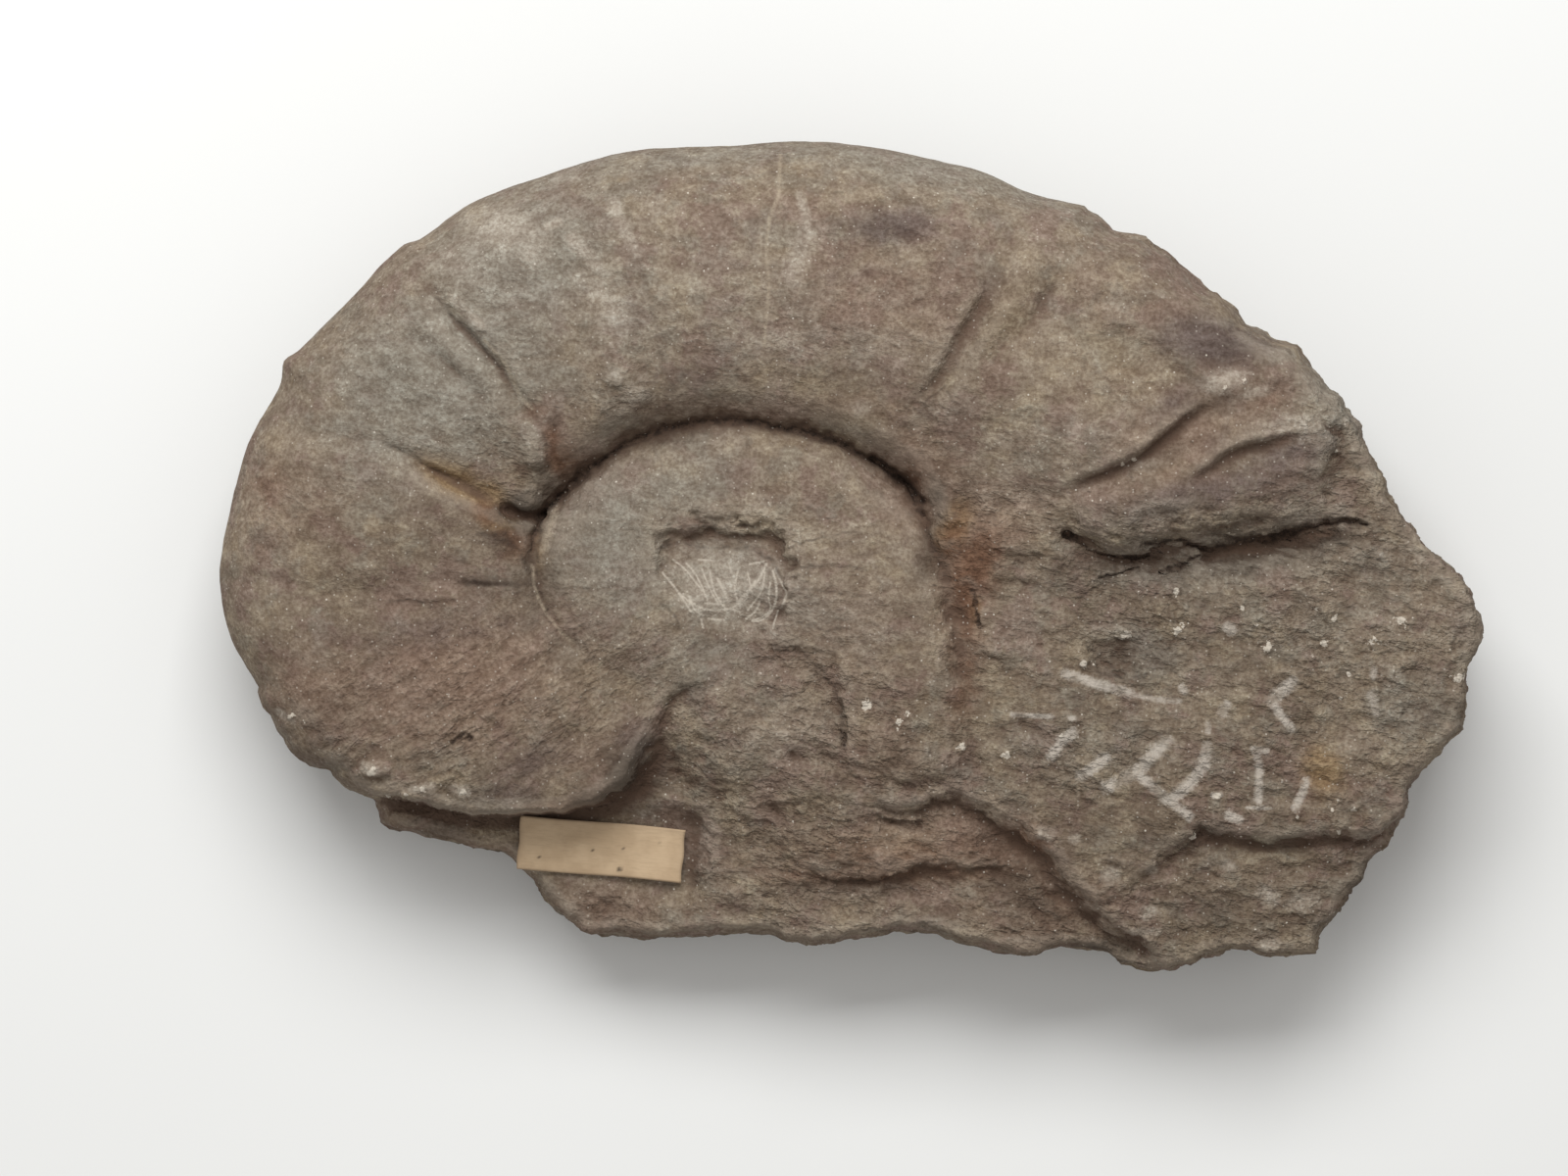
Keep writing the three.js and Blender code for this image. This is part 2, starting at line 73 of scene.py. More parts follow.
# The broken edge of the rock, on from there, down the right side and back along the bottom
BROKEN_EDGE = [
    (56.5, 70), (65, 67), (70, 63.5), (80.5, 55.5), (91, 46.5), (96, 45), (102, 37), (105.5, 34),
    (107.5, 30), (110.5, 24), (115, 14), (123.5, 1.5), (127.5, -2), (134.5, -13), (135, -16),
    (132.5, -22.5), (131, -37), (125, -43.5), (120.5, -48.5), (119.5, -54), (116, -61.5),
    (111.5, -65.5), (106, -75), (100.5, -85), (98.5, -85.5), (82.5, -84.5), (70, -89), (62.5, -89),
    (55.5, -85.5), (40.5, -86), (24, -83), (13.5, -81), (-3.5, -84), (-9.5, -84), (-22, -81.5),
    (-43, -83), (-56, -82), (-64, -76), (-71.5, -67), (-75.5, -63.5), (-87, -62), (-97.5, -59.5),
    (-101, -58), (-103.5, -52), (-108, -50), (-111.5, -46), (-115.5, -45), (-119.5, -42),
    (-123, -36.5), (-126, -32),
]

# The rounded side of the stone by angle: how far in from the edge it starts, the level of its
# widest line, and how far the resting face stands back under it
SIDE_WIDTH = [
    (0, 2.4), (10, 3.5), (24, 9), (50, 20), (120, 20), (180, 18), (200, 11), (212, 5), (235, 3.5),
    (270, 3.5), (320, 2.6), (345, 2.4),
]
SIDE_LEVEL = [
    (0, 21), (14, 22), (40, 26), (90, 25), (180, 23), (200, 22), (212, 11), (235, 9), (270, 10),
    (310, 14), (320, 16), (345, 20),
]
UNDER_WIDTH = [
    (0, 8), (30, 16), (60, 26), (120, 27), (180, 24), (205, 14), (235, 7), (290, 7), (345, 8),
]

# The shell: its seam, where the outer whorl meets the whorl inside it, and the central pit
SEAM_RADIUS = [
    (0, 48.2), (12, 44.9), (28, 44.2), (45, 40.5), (70, 36), (97, 35.3), (125, 36.6), (150, 39.8),
    (163, 41.6), (180, 39.4), (198, 35.3), (215, 31), (240, 29), (270, 45), (300, 70), (318, 71),
    (333, 63), (345, 55),
]
SEAM_LEVEL = [
    (0, 41), (15, 40), (32, 36.5), (45, 37.6), (90, 37.2), (130, 35.2), (150, 32.5), (158, 35),
    (172, 39), (200, 40), (240, 38.5), (300, 38.5), (330, 40.5),
]
# The steep wall that the outer whorl rises from the seam with: its height, and its plan width
SEAM_WALL = [
    (0, 2), (18, 4.5), (32, 7), (48, 7), (70, 6.5), (85, 6.5), (102, 7.5), (130, 9.5), (150, 8),
    (158, 6), (166, 2), (180, 0.8), (222, 0.5), (345, 0.3),
]
SEAM_WALL_WIDTH = [
    (0, 5), (18, 5), (32, 6), (50, 7.5), (70, 8), (85, 8.5), (100, 9), (118, 10), (135, 9.5),
    (152, 7), (166, 3), (200, 2), (345, 4),
]
# How dark the painted shade along the foot of that wall is, and its width
SEAM_DARKNESS = [
    (0, 0.4), (12, 0.8), (26, 0.7), (42, 0.75), (60, 1), (150, 1), (163, 0.9), (175, 0.3), (190, 0),
    (345, 0),
]
SEAM_LINE_WIDTH = 1.0
# The level of the inner whorl's crest, and the pit: its rim, the plan width of its wall, its depth
INNER_CREST = [
    (0, 44.5), (60, 43), (90, 42), (150, 42), (200, 42), (260, 40), (300, 39.2), (330, 41.2),
]
PIT_RADIUS = [
    (0, 12.8), (25, 14), (44, 13.3), (68, 11.5), (90, 10.9), (116, 11.6), (140, 13.4), (158, 13.5),
    (190, 9.5), (235, 7.5), (280, 7.8), (323, 12),
]
PIT_WALL = [
    (0, 2.5), (22, 3.5), (45, 5), (70, 6), (103, 6.5), (130, 6.5), (160, 5), (200, 4.5), (280, 4),
]
PIT_DROP = [(0, 2.4), (40, 3.6), (85, 4.4), (140, 3.4), (170, 2), (230, 0.8), (300, 1.2)]
PIT_WALL_EVENNESS = 0.6  # 0 for a wall that is steep at its foot, 1 for an even slope
PIT_MEAN_DROP = 3.2
INNER_MEAN_CREST = 42.0
INNER_SHOULDER = 12.0  # plan width over which the inner whorl rises from the seam
CREST = 49.0  # level of the outer whorl's crest at the top
CREST_ANGLE = 90.0
CREST_GROWTH = 0.0013  # how much higher it is with each degree towards the shell's younger end
FLANK_DROP = 5.0  # how far the flank falls from its crest to the rounded side
FLANK_CREST_AT = 0.42  # where the crest lies between the seam and the outer edge
FLANK_BOW = 1.5  # 1 for a straight rise from the seam's wall to the crest, more for a bowed one
TURN_START = -90.0  # the angle from which the outer whorl's turn is counted

# Ribs and grooves across the flank: points, half width, height, which is below 0 for a groove
FLANK_RELIEF = [
    ([(32.7, 66.6), (31.9, 61.3), (30.2, 57.1), (27, 49.8), (22.8, 42.4), (18.7, 36.2)], 2.8, -1.2),
    ([(45.9, 60.3), (40.7, 54), (36.5, 48.7), (31.2, 42.4)], 3, -1.2),
    ([(40, 66), (35, 54), (27, 43)], 2.6, 0.9),
    ([(-89.9, 58.2), (-82, 48.7), (-76.7, 44.5), (-73.6, 40.4), (-70.4, 35.1), (-68.3, 31.3)], 2.2,
      -1.5),
    ([(-92.4, 45.6), (-86.2, 41.4), (-83, 38.9), (-77.1, 34.5)], 2.2, -1.2),
    ([(-118.6, 26.7), (-110.3, 25.7), (-101.9, 24.2), (-93.5, 22.1), (-83, 17.5), (-72.5, 11.6)],
      2.6, -1.2),
    ([(-108, 33), (-95, 29), (-82, 23), (-74, 18)], 9, -1.8),
    ([(-131.2, -4.7), (-112.4, -6.2), (-93.5, -5.1), (-80.9, -6)], 1.6, -0.7),
    ([(-120.7, -9.3), (-110.3, -8.1), (-99.8, -7.4), (-91.4, -7.7)], 1.8, -0.6),
    ([(-88, 18), (-80, 14), (-72.5, 9.8), (-66, 8)], 2.2, -1.4),
    ([(-72.5, 9.8), (-69, 8.6), (-65, 9)], 1.3, -2.4),
    ([(54.3, 49.8), (59.5, 48.7), (66.9, 44.5), (73.2, 38.3), (78.6, 35.7)], 2.4, 1.3),
    ([(80, 35.5), (86, 36.5)], 3.5, 1.5), ([(51, 12), (70, 20), (91, 30)], 4.5, 1),
    ([(52, 7), (70, 11), (91, 19.5), (99, 22.5)], 6, 2),
    ([(47, 0), (62.5, -1), (82.5, 1.5), (109, 6.5)], 10, -8),
    ([(26, 13), (36, 15), (48, 13)], 9, -2.4),
    ([(-71.5, 8.8), (-67, 8.2), (-63, 9.5)], 1.6, -1), ([(73, 43.5), (83, 42)], 3.5, 0.9),
    ([(-69, 36), (-78, 48.5)], 2.4, 0.8), ([(-66.9, 21), (-67.5, 24.5)], 2.6, 1.6),
    ([(-51, 39), (-45.5, 34)], 3.2, 1.4), ([(13, 36), (22, 34)], 5, 1),
]
# Ledges across the flank, where flakes have come off: points, reach and drop. The surface drops
# along the right-hand side of each line.
FLANK_LEDGES = [
    ([(38.2, 11.2), (48, 15.8), (61.2, 21.7), (65.8, 25.5), (71.1, 29.5), (76.3, 32.6), (82.5, 35)],
      9, 3.6),
    ([(66, 13.5), (74.6, 18.3), (79.4, 21.7), (83.6, 23.4), (88.9, 24.4), (98, 26.6)], 8, 3),
    ([(69.4, 47.3), (73.2, 48.1), (76.9, 48.3), (81.5, 47.5), (86, 45.2)], 5, 1.3),
    ([(-114.9, -15.2), (-108.2, -11), (-95.6, -9.3), (-83, -11), (-78.4, -12.3)], 16, 0.8),
    ([(23.9, 11.4), (28.1, 10.6), (33.3, 11.6), (42.8, 14.1)], 6, 1.1),
    ([(57, 7.5), (63, 9.5), (72, 9)], 5, 1), ([(72, 6.5), (80, 7.2), (90, 8.5)], 5, 1.2),
    ([(-67.5, 16.5), (-64, 19), (-63.8, 25)], 4, 0.9),
    ([(-52, 34.4), (-48, 35.5), (-47, 39)], 4, 0.7), ([(-46, 31.5), (-41, 33)], 4, 0.7),
    ([(-90.3, 58.2), (-87.2, 54), (-83, 49.8), (-76.7, 43.5), (-73.6, 40.3), (-70.4, 35.1),
      (-67.3, 30.9)], 4.5, 1.5),
    ([(-90.3, 45), (-86.2, 42.3), (-81, 37), (-75.6, 31.9), (-73.5, 26.6)], 4, 1.2),
    ([(-101, 24.6), (-93.5, 22.1), (-89.3, 19.4), (-85.1, 17.3), (-80.9, 15.2), (-76.7, 13.1),
      (-72.5, 10.4)], 4.5, 1.5),
    ([(5, 27.8), (11.3, 30.9), (15.5, 35.1), (18.7, 39.3), (21.8, 45.6), (26, 51.9), (29.1, 58.2),
      (31.6, 66)], 5, 1.5),
    ([(30.2, 41.4), (34.4, 45.6), (38.6, 50.8), (41.7, 56.1), (44.9, 60.3)], 4, 1.2),
    ([(-120, -8.8), (-110, -7.2), (-99, -7), (-88, -9.2), (-80, -8.5)], 5, 0.9),
]

# Where the shell's surface is kept: corners, each with the plan width of the wall that ends it
KEPT_SHELL = [
    (-134.5, -60, 4), (-104, -52.5, 3), (-101.9, -52.5, 2.5), (-95, -52.5, 2), (-89.3, -53.8, 2),
    (-82, -55.6, 2), (-76.7, -55.9, 2), (-70, -55.9, 2), (-64.1, -55.4, 2), (-55.8, -54.2, 2.5),
    (-51.6, -53, 3), (-47.4, -51.3, 4), (-44.2, -49.4, 5), (-42.1, -46.6, 6), (-40, -43.5, 6.5),
    (-39, -39.3, 5), (-38.6, -35.1, 3.5), (-37.3, -30.9, 3), (-36, -29, 3.5), (-31.7, -28.8, 4.5),
    (-26.4, -27.8, 4.5), (-21.2, -24.2, 4), (-17, -20.2, 3.5), (-12.8, -20.2, 3.5),
    (-8.6, -21.5, 4), (-4.8, -24.2, 5), (-2.9, -27.1, 5), (-1.9, -30.3, 4), (-1.5, -34.1, 2.5),
    (-1.3, -41, 2.5), (-1.5, -44, 3), (1, -47, 3.5), (6, -49, 4), (12, -50, 5), (17, -50, 6),
    (24, -50, 7), (28, -38, 8), (26, -25, 9), (23.5, -14, 9), (21.5, -4, 8), (21.5, 3, 8),
    (25, 7.5, 9), (31, 7.5, 12), (37, 7, 12), (43, 5.5, 8), (47, 3.8, 4), (52.2, 1.4, 3),
    (57.4, -0.3, 2.5), (62.7, 0.2, 2.5), (66, 2.2, 2.5), (72.1, 2.4, 2.5), (75.5, 1.5, 2.5),
    (82, 2.2, 2.5), (90, 4, 2.5), (98, 5.6, 2.5), (102, 6.3, 3), (101.4, 12.5, 4), (103.5, 18.5, 5),
    (104.5, 25.5, 6), (110, 29, 6), (150, 45, 6), (150, 130, 6), (-170, 130, 6), (-170, -60, 4),
]
# The upper level of the rock, right of and below the shell, and the lower shelf beside it
RIGHT_BLOCK = [
    (-3, -44.5, 4), (0, -48, 4), (3.5, -52, 3), (9, -54.6, 2.6), (14.5, -54.5, 2.6), (18, -52.4, 3),
    (23, -52.8, 3.5), (28, -55.2, 4), (35, -60, 5), (38.8, -63.5, 5), (42, -68, 5), (46, -72, 5),
    (49.5, -76, 4.5), (53.5, -76, 4), (59.5, -71.5, 3), (66, -67, 3), (72, -62, 3),
    (75, -58.3, 2.5), (78, -60.2, 2.5), (85, -61, 2.5), (91, -61.5, 2.5), (97, -60.5, 2.5),
    (101.5, -60, 2.5), (108, -60.8, 2.5), (114, -59, 2.5), (121.5, -54, 3), (170, -54, 3),
    (170, 100, 3), (-3, 100, 3),
]
LOWER_SHELF = [
    (44, -60, 5), (50, -76, 4), (53.5, -79.5, 3.5), (57, -81, 3), (62, -82.5, 3), (66, -90, 4),
    (66, -120, 5), (170, -120, 5), (170, -40, 5), (44, -40, 5),
]
# Bedding ledges in the rock, as those of the flank
LEDGES = [
    ([(-22.2, -54.2), (-13.8, -52.5), (-7.5, -52.9), (0.4, -52.5)], 6, 0.9),
    ([(-32, -57.1), (-22.2, -56.5), (-13, -56.5)], 6, 0.8),
    ([(2.5, -52.9), (5, -54.6), (8.2, -56.3), (12.4, -56.9), (15.5, -56.7), (19.5, -54.8)], 6,
      1.8),
    ([(-17, -66.8), (-10.7, -68.2), (-5.5, -69.1), (0.8, -69.1), (9.2, -68.2), (15.5, -65.9),
      (26, -66.6), (36.5, -64.8)], 7, 2),
    ([(60, -26.5), (56, -25), (49, -23)], 7, 1.6),
    ([(35, -70), (39.5, -75), (46, -79)], 5, 1),
    ([(0, -78.8), (6.1, -80.6), (16.6, -80.2), (23, -80.8)], 5, 1.8),
    ([(28.5, -4.3), (33.5, -4.9), (42.8, -5.8)], 5, 0.8),
    ([(50.5, -5.4), (56.4, -3.9), (63, -1.6)], 6, 0.9),
    ([(30.5, -1), (38, 0), (44, 2)], 5, 0.8),
    ([(-113, -43), (-106, -48.5), (-99, -52)], 4, 1.2),
    ([(86, -77), (94, -76.4), (101, -78)], 5, 0.9),
    ([(50, -64), (58, -66.5), (66, -63)], 5, 0.7),
]
FLANK_LEDGE_SPREAD = 1.2  # half the plan width of a ledge's wall
LEDGE_SPREAD = 0.6
LEDGE_ENDS = 2.6  # more for a ledge that keeps its drop nearer to its ends
LEDGE_POINTS = 21
EVEN_WALL_WIDTHS = (2.5, 6.5)  # plan widths between which a steep wall becomes an even slope
# Spot heights of the lower ground: x, y, level. It lies level with each near it.
GROUND_SPOTS = [
    (-100, -57, 20), (-88, -59, 20.5), (-78, -61, 21.5), (-70, -62, 24.9), (-66, -70, 23.4),
    (-53, -62.6, 25), (-53, -56, 26.3), (-53, -76, 22.3), (-38, -60, 25.7), (-38, -72, 24),
    (-47, -50, 28), (-43, -44, 31), (-38, -52, 28.5), (-35, -35, 37), (-29, -30, 39.3),
    (-14, -24, 39.5), (-14, -36, 38.4), (-4, -38, 38.4), (-24, -44, 37), (-10, -48, 37.6),
    (-30, -53, 31), (0, -50, 37.5), (-20, -54, 33.5), (-6, -60, 34), (10, -60, 34.8), (22, -60, 34),
    (31, -61, 31.5), (37, -66, 30.5), (-74, -59.5, 24.5), (-20, -66, 29.5), (-20, -78, 26.5),
    (0, -75, 29.5), (20, -75, 30), (38, -76, 30), (52, -86, 28),
]
SPOT_REACH = 6.0
# Planes: x, y, the level there, and the slopes along X and Y
LABEL_PLANE = (0, -55, 27, 0, 0.22)
SHELF = (70, -72, 34, -0.03, 0.09)
BLOCK = (30, 0, 43, 0.02, 0.1)
# Furrows and rises over the whole face: points, half width, height
FURROWS = [
    ([(26.5, -8), (27.5, -15), (25.5, -24), (25, -34), (27, -44)], 4, -0.7),
    ([(9, -41), (20, -44)], 5, 0.8), ([(-8, -58), (10, -59), (26, -60)], 7, 1),
    ([(52, -19), (60, -21)], 6, -1.5), ([(90, -30), (96, -33)], 3.5, -0.8),
    ([(-12, -42.5), (-6, -42)], 2, -0.8), ([(-98.5, -45.6), (-101.5, -44.8)], 1.4, 1.6),
    ([(12, 17), (17, 10), (18.7, 1.6), (21.4, -6.8), (22.8, -15.2), (24, -24)], 2.6, -1.5),
    ([(34, 3), (48, 3)], 8, 1.6), ([(66, -2), (80, -1), (98, 3)], 4.5, -1.6),
    ([(-29, -19.5), (-17, -21.5), (-8, -26), (-3, -33)], 3, -1.2),
    ([(-26, -36), (-14, -37), (-6, -35)], 9, 1.2),
    ([(46, 3), (50, 0.5), (57, -1.5), (64, -0.5)], 2.2, -1.8),
    ([(76, 0), (86, 2), (94, 4), (101, 5)], 2, -2.2),
]
# Thin cracks: points, half width, depth
CRACKS = [
    ([(26, -7.4), (26.8, -11.4), (27.5, -14.8)], 0.25, 0.5),
    ([(45.4, 4.6), (47.5, 3.6), (50.1, 1.8), (54.3, 0.3), (58.3, 0), (63, 0.4)], 0.4, 1),
    ([(62, 1.6), (66, 3), (70, 3.6), (72.5, 2.4), (75.2, 1.8), (78.4, 2.2), (82.2, 3.2),
      (86.8, 3.6), (91.4, 4.6), (95.2, 5.3), (98.5, 6.3), (101, 7), (104.6, 7.6), (109.2, 6.5)],
      0.6, 1.6),
    ([(52.8, -4.7), (56.4, -3.9), (61.2, -2.4)], 0.25, 0.5),
    ([(66, -3.4), (70, -2.4), (74, 0.2)], 0.25, 0.5),
    ([(4.8, 20.9), (8.2, 18.8), (10.7, 16.9), (13, 14.8), (15.5, 11.6)], 0.55, 1.4),
    ([(-84, -39.5), (-82.5, -38.4), (-81.2, -37.6), (-80.2, -38.7)], 0.3, 0.5),
    ([(-1, -34), (-1.2, -40)], 0.25, 0.4),
]
# How the seam and the pit's rim stray: distance, size, seed
SEAM_WANDER = [(0.4, 9, 15), (0.3, 3, 27)]
SEAM_WANDER_REACH = 4.0
PIT_WANDER = [(0.9, 6, 33), (0.6, 2.6, 70)]
BREAK_FACETS = [(1.2, 17, 41), (0.7, 7, 52)]  # how the broken sides go in and out
BREAK_HEIGHT = 40.0  # how far the pattern of those moves on from the widest line to the face
NICK_DEPTH = 5.0  # over how many millimetres inwards the edge's nicks fade out
NICK_START = 1.4  # 1 for nicks that fade from the edge itself, more for whole ones near it
NICK_SPAN = 14  # steps of the edge on each side over which it is evened out
RAGGED_SHARE = 0.10  # how far a broken edge kinks, as a share of the stretch that kinks
RAGGED_STEP = 1.5  # a stretch shorter than this isn't kinked
RAGGED_LIMIT = 20.0  # and neither is one longer than this
RAGGED_WIDEST = 7.0  # the line of a wall as wide as this is left even
RAGGED_FADE = 3.0  # and one that is narrower by this kinks in full
RAGGED_TIMES = 3
RAGGED_SEED = 5
WAVES = 5
WAVE_PITCH = 0.7  # the longest wave is 1 / 0.7 times as long as the given size
WAVE_PITCH_STEP = 0.15  # and each one after it is shorter by this share
WAVE_SHIFT = 4
GOLDEN_ANGLE = math.pi * (3 - math.sqrt(5))

# The label, and how it lies: its size, its middle and its turn in plan
LABEL_LENGTH = 35.4
LABEL_WIDTH = 11.8
LABEL_X = -53.0
LABEL_Y = -62.6
LABEL_TURN = -5.1
LABEL_LIFT = 0.3
LABEL_BED_RIM = 0.6  # how far past the label its bed is quite even
LABEL_BED_MARGIN = 6.0  # how far on the bed fades into the stone
LABEL_BED_DEPTH = 0.35
LABEL_BED_SMOOTHNESS = 0.8  # share of the stone's roughness that the bed lacks
LABEL_THICKNESS = 0.22
LABEL_CURL = 0.35  # how far its ends lift off the bed
LABEL_WAVE = 0.05
LABEL_COLUMNS = 61
LABEL_ROWS = 25
END_CUT_STRAY = 0.12  # how far its cuts stray from straight
SIDE_CUT_STRAY = 0.10
WORN_EDGE_WIDTH = 0.5
# Dark specks on it: place along and across, reach
LABEL_SPECKS = [
    (4.3, -4.2, 0.45), (-1.8, -0.4, 0.28), (4.6, 0.4, 0.22), (12.6, 2.6, 0.22), (-8.5, 2, 0.18),
    (8, -2.2, 0.15), (-13, -3, 0.15),
]

# Fineness of the lines: steps in each stretch of a curve, and points on the curves themselves
CURVE_STEPS = 24
SCRATCH_POINTS = 11
VENTER_POINTS = 500
EVEN_VENTER_POINTS = 61
EDGE_STEPS = 1600

# Fineness of the stone's faces: rings from the middle out, each with six points more than the
# last, then over the side, and the share of the points kept in each ring under the widest line.
# The rings on the resting face have their reach before that share.
RINGS = 105
SIDE_RINGS = 8
UNDER_RINGS = [0.9, 0.8, 0.7, 0.6, 0.5, 0.5, 0.4, 0.4]
RESTING_RINGS = [(0.93, 0.36), (0.8, 0.3), (0.66, 0.24), (0.5, 0.18), (0.33, 0.12), (0.16, 0.06)]
HALVINGS = 3  # times that the edges of the face longer than these are halved
FACE_EDGE = 2.3
MARK_EDGE = 0.9
STEEP_EDGE = 0.8
LINE_EDGE = 0.55
SCRATCH_EDGE = 0.36
STEEP = 0.55  # slope past which the face is steep
LINE_MARGIN = 0.5  # how far past a mark its finer faces reach
SIDE_STRIP = 0.16  # share of the stone's radius that is taken up by its rounded side
SIDE_SHARE = 0.1  # share of the rounded side's plan width that is left to the side's own rings
WHOLE_SIDE_WIDTHS = (6, 14)  # widths between which a broken side becomes the shell's own
COIL_SPAN = 60.0  # millimetres to a radian along the coil, for its growth lines

# Painted shade, partly dirt, makes the face darker where it lies below the mean level about it: the
# sizes of what it is held to
HOLLOW_SIZE = 1.3
WIDE_HOLLOW_SIZE = 6.0
HOLLOW_CELLS = 3  # cells that each size is cut into
HOLLOW_SIDE = 0.4  # share of the side's width over which there are none

# Where the stone's side is the shell's own: the angles over which it starts and stops
SHELL_SIDE_START = (35, 50)
SHELL_SIDE_END = (222, 210)
SHELL_SIDE_RADIUS = 80  # how far out it is, about the coil's axis
MARKED_LEVELS = (12, 20)  # levels between which marks appear on the stone
GRIT_LEVEL = 15  # level below which no grit lies

# Marks on the stone, and painted light and shade, each a list of spots: x, y, reach along, reach
# across, turn, strength
RUST = [
    (-15, 13, 3, 2, 0, 0.4), (-77, 10.5, 3, 1.6, -15, 0.5), (-76.3, 9, 3.2, 2, -20, 1),
    (-72.5, 4.6, 3, 1.2, -10, 0.6), (-70.5, 1.8, 3, 3.4, 0, 0.6), (-61, 20.4, 2.6, 2.8, 0, 0.95),
    (-62.2, 24.6, 1.2, 3.5, 15, 0.8), (-66, 30.5, 2.5, 1.5, 0, 0.6), (-63, 26, 1.6, 2.5, 0, 0.6),
    (24.5, -9, 2.2, 8, 5, 1), (27, -1.6, 4, 5.5, -10, 1), (22, 4, 2.6, 5, -20, 0.8),
    (24, -28, 3.5, 9.5, 0, 0.5), (-124, 14, 4, 12.5, 0, 0.3), (13.4, 16.3, 2.5, 3, -40, 0.7),
    (10, -64.5, 26, 4, 2, 0.45), (49, 31, 14.5, 9.5, 20, 0.2), (8, -68, 20, 1.6, 2, 0.7),
    (-109, 47.5, 10.5, 6.5, 45, 0.15), (-35, 80, 4, 3, 0, 0.3), (38, -61, 4, 3, -30, 0.7),
    (44, -70, 3, 7, 30, 0.5), (89, 33, 8.5, 2.5, 15, 0.3), (-57, -28, 8.5, 7.5, 0, 0.15),
    (8, -72, 30, 7, 0, 0.25), (33, 42, 5, 12, -35, 0.25), (45, -78, 7, 3, -30, 0.25),
    (-58, -53, 10, 2, 8, 0.6), (-45, -46, 3, 3, 0, 0.4),
]
OCHRE = [
    (-84, 16.6, 6, 2.8, -25, 1), (-77, 13, 4, 2.4, -20, 1), (-74, 7.3, 3, 1.6, 0, 0.9),
    (22.3, 6.4, 2.5, 4, -30, 0.9), (100.6, -45.6, 3.8, 4.2, 0, 0.9), (26.5, -11.5, 1.2, 3, 0, 0.6),
    (-4, 47, 5, 1.5, 0, 0.2), (-66, 1, 1.5, 4, 0, 0.4),
]
# Deep painted shade: the darkest shadow in clefts, cracks, holes and at the feet of walls and
# ledges
SHADE = [
    (-73.5, 9.6, 3.4, 1.8, -4, 0.6), (-68, 9.6, 3.4, 1.6, 4, 0.9), (-63, 13.4, 4.2, 2.2, 42, 0.85),
    (-71.8, 8.6, 4.5, 2.8, -8, 0.7), (-76.5, -5.8, 4.2, 0.5, -3, 0.95),
    (-74, 3.5, 3.5, 2, -30, 0.5), (-64.6, 18.4, 1.4, 2.4, 20, 0.5), (-69.6, 11.5, 3, 2, 50, 0.8),
    (-37, 25.4, 8, 2.2, 10, 0.6), (-50, 21.5, 8, 1.8, 28, 0.35), (18.6, 12, 1.6, 4, 15, 0.5),
    (-57, 17.8, 4, 1.2, 38, 0.5), (32, -69, 5, 6, 0, 0.35), (66, -59, 16, 3, -5, 0.3),
    (53, -84, 6, 2, 0, 0.5), (-70.4, 2.5, 3, 3, -40, 0.3), (-67.6, -3, 1.6, 5, 0, 0.35),
    (11.3, 16, 1.3, 1.2, -40, 1), (15.4, 11.5, 1.2, 3, 25, 0.5), (94, 2.6, 11, 1.5, 9, 0.9),
    (84, -1, 9, 3, 4, 0.5), (80.5, -22, 8, 4, 0, 0.25), (-46.3, -46.4, 4, 4.5, -30, 0.75),
    (-53, -51.4, 8, 1.6, 12, 0.6), (-38, 35.5, 3.5, 3, 0, 0.35), (73, 37.4, 6, 1, 10, 0.3),
    (-62.5, 28.3, 1.2, 1.6, 0, 0.7), (-61, 19.8, 2, 1.4, 0, 0.3), (57, -23.5, 8, 2.4, -8, 0.45),
    (78.5, 44.6, 6, 0.8, 0, 0.4), (-3.5, -42, 3, 1.6, 0, 0.4), (-2, -48, 4, 1.5, -20, 0.4),
    (44.5, -77, 2.5, 1.4, -20, 0.5), (31, -61, 6, 3, -20, 0.3), (-1.5, -36, 0.6, 5, 0, 0.4),
    (55, -0.6, 5, 0.7, -15, 0.6),
]
PURPLE = [
    (9, 69.5, 8, 3.5, 0, 0.85), (0, 59, 6, 2, 8, 0.4), (-91.5, -16, 20, 3.5, 3, 0.5),
    (-64, -41.5, 14.5, 4, 25, 0.5), (75.5, 45, 9, 4, -8, 1), (70, 46, 6, 4, 0, 0.8),
    (-71, -50.5, 6, 2.5, 0, 0.6), (-45, -40, 4, 5, 0, 0.6), (73, 13, 18, 3, 12, 0.75),
    (91, 20.5, 10.5, 3.5, 20, 0.7), (-28.5, 38.5, 6, 5, 0, 0.4), (69, 32.5, 6.5, 2.5, 30, 0.6),
    (-15.5, 12, 3.5, 2.5, 0, 0.5), (19.5, 54, 8.5, 4.5, 0, 0.25), (-35, -48.5, 17, 6.5, 0, 0.2),
    (30, 55, 3, 9.5, -30, 0.4), (59.5, 14, 8.5, 2.5, 8, 0.3), (-112.5, -40.5, 8.5, 4, -30, 0.2),
    (78, 25, 5, 2, 30, 0.4), (-20, 42, 9, 3, 10, 0.25), (-40, -45, 3, 5, 0, 0.5),
]
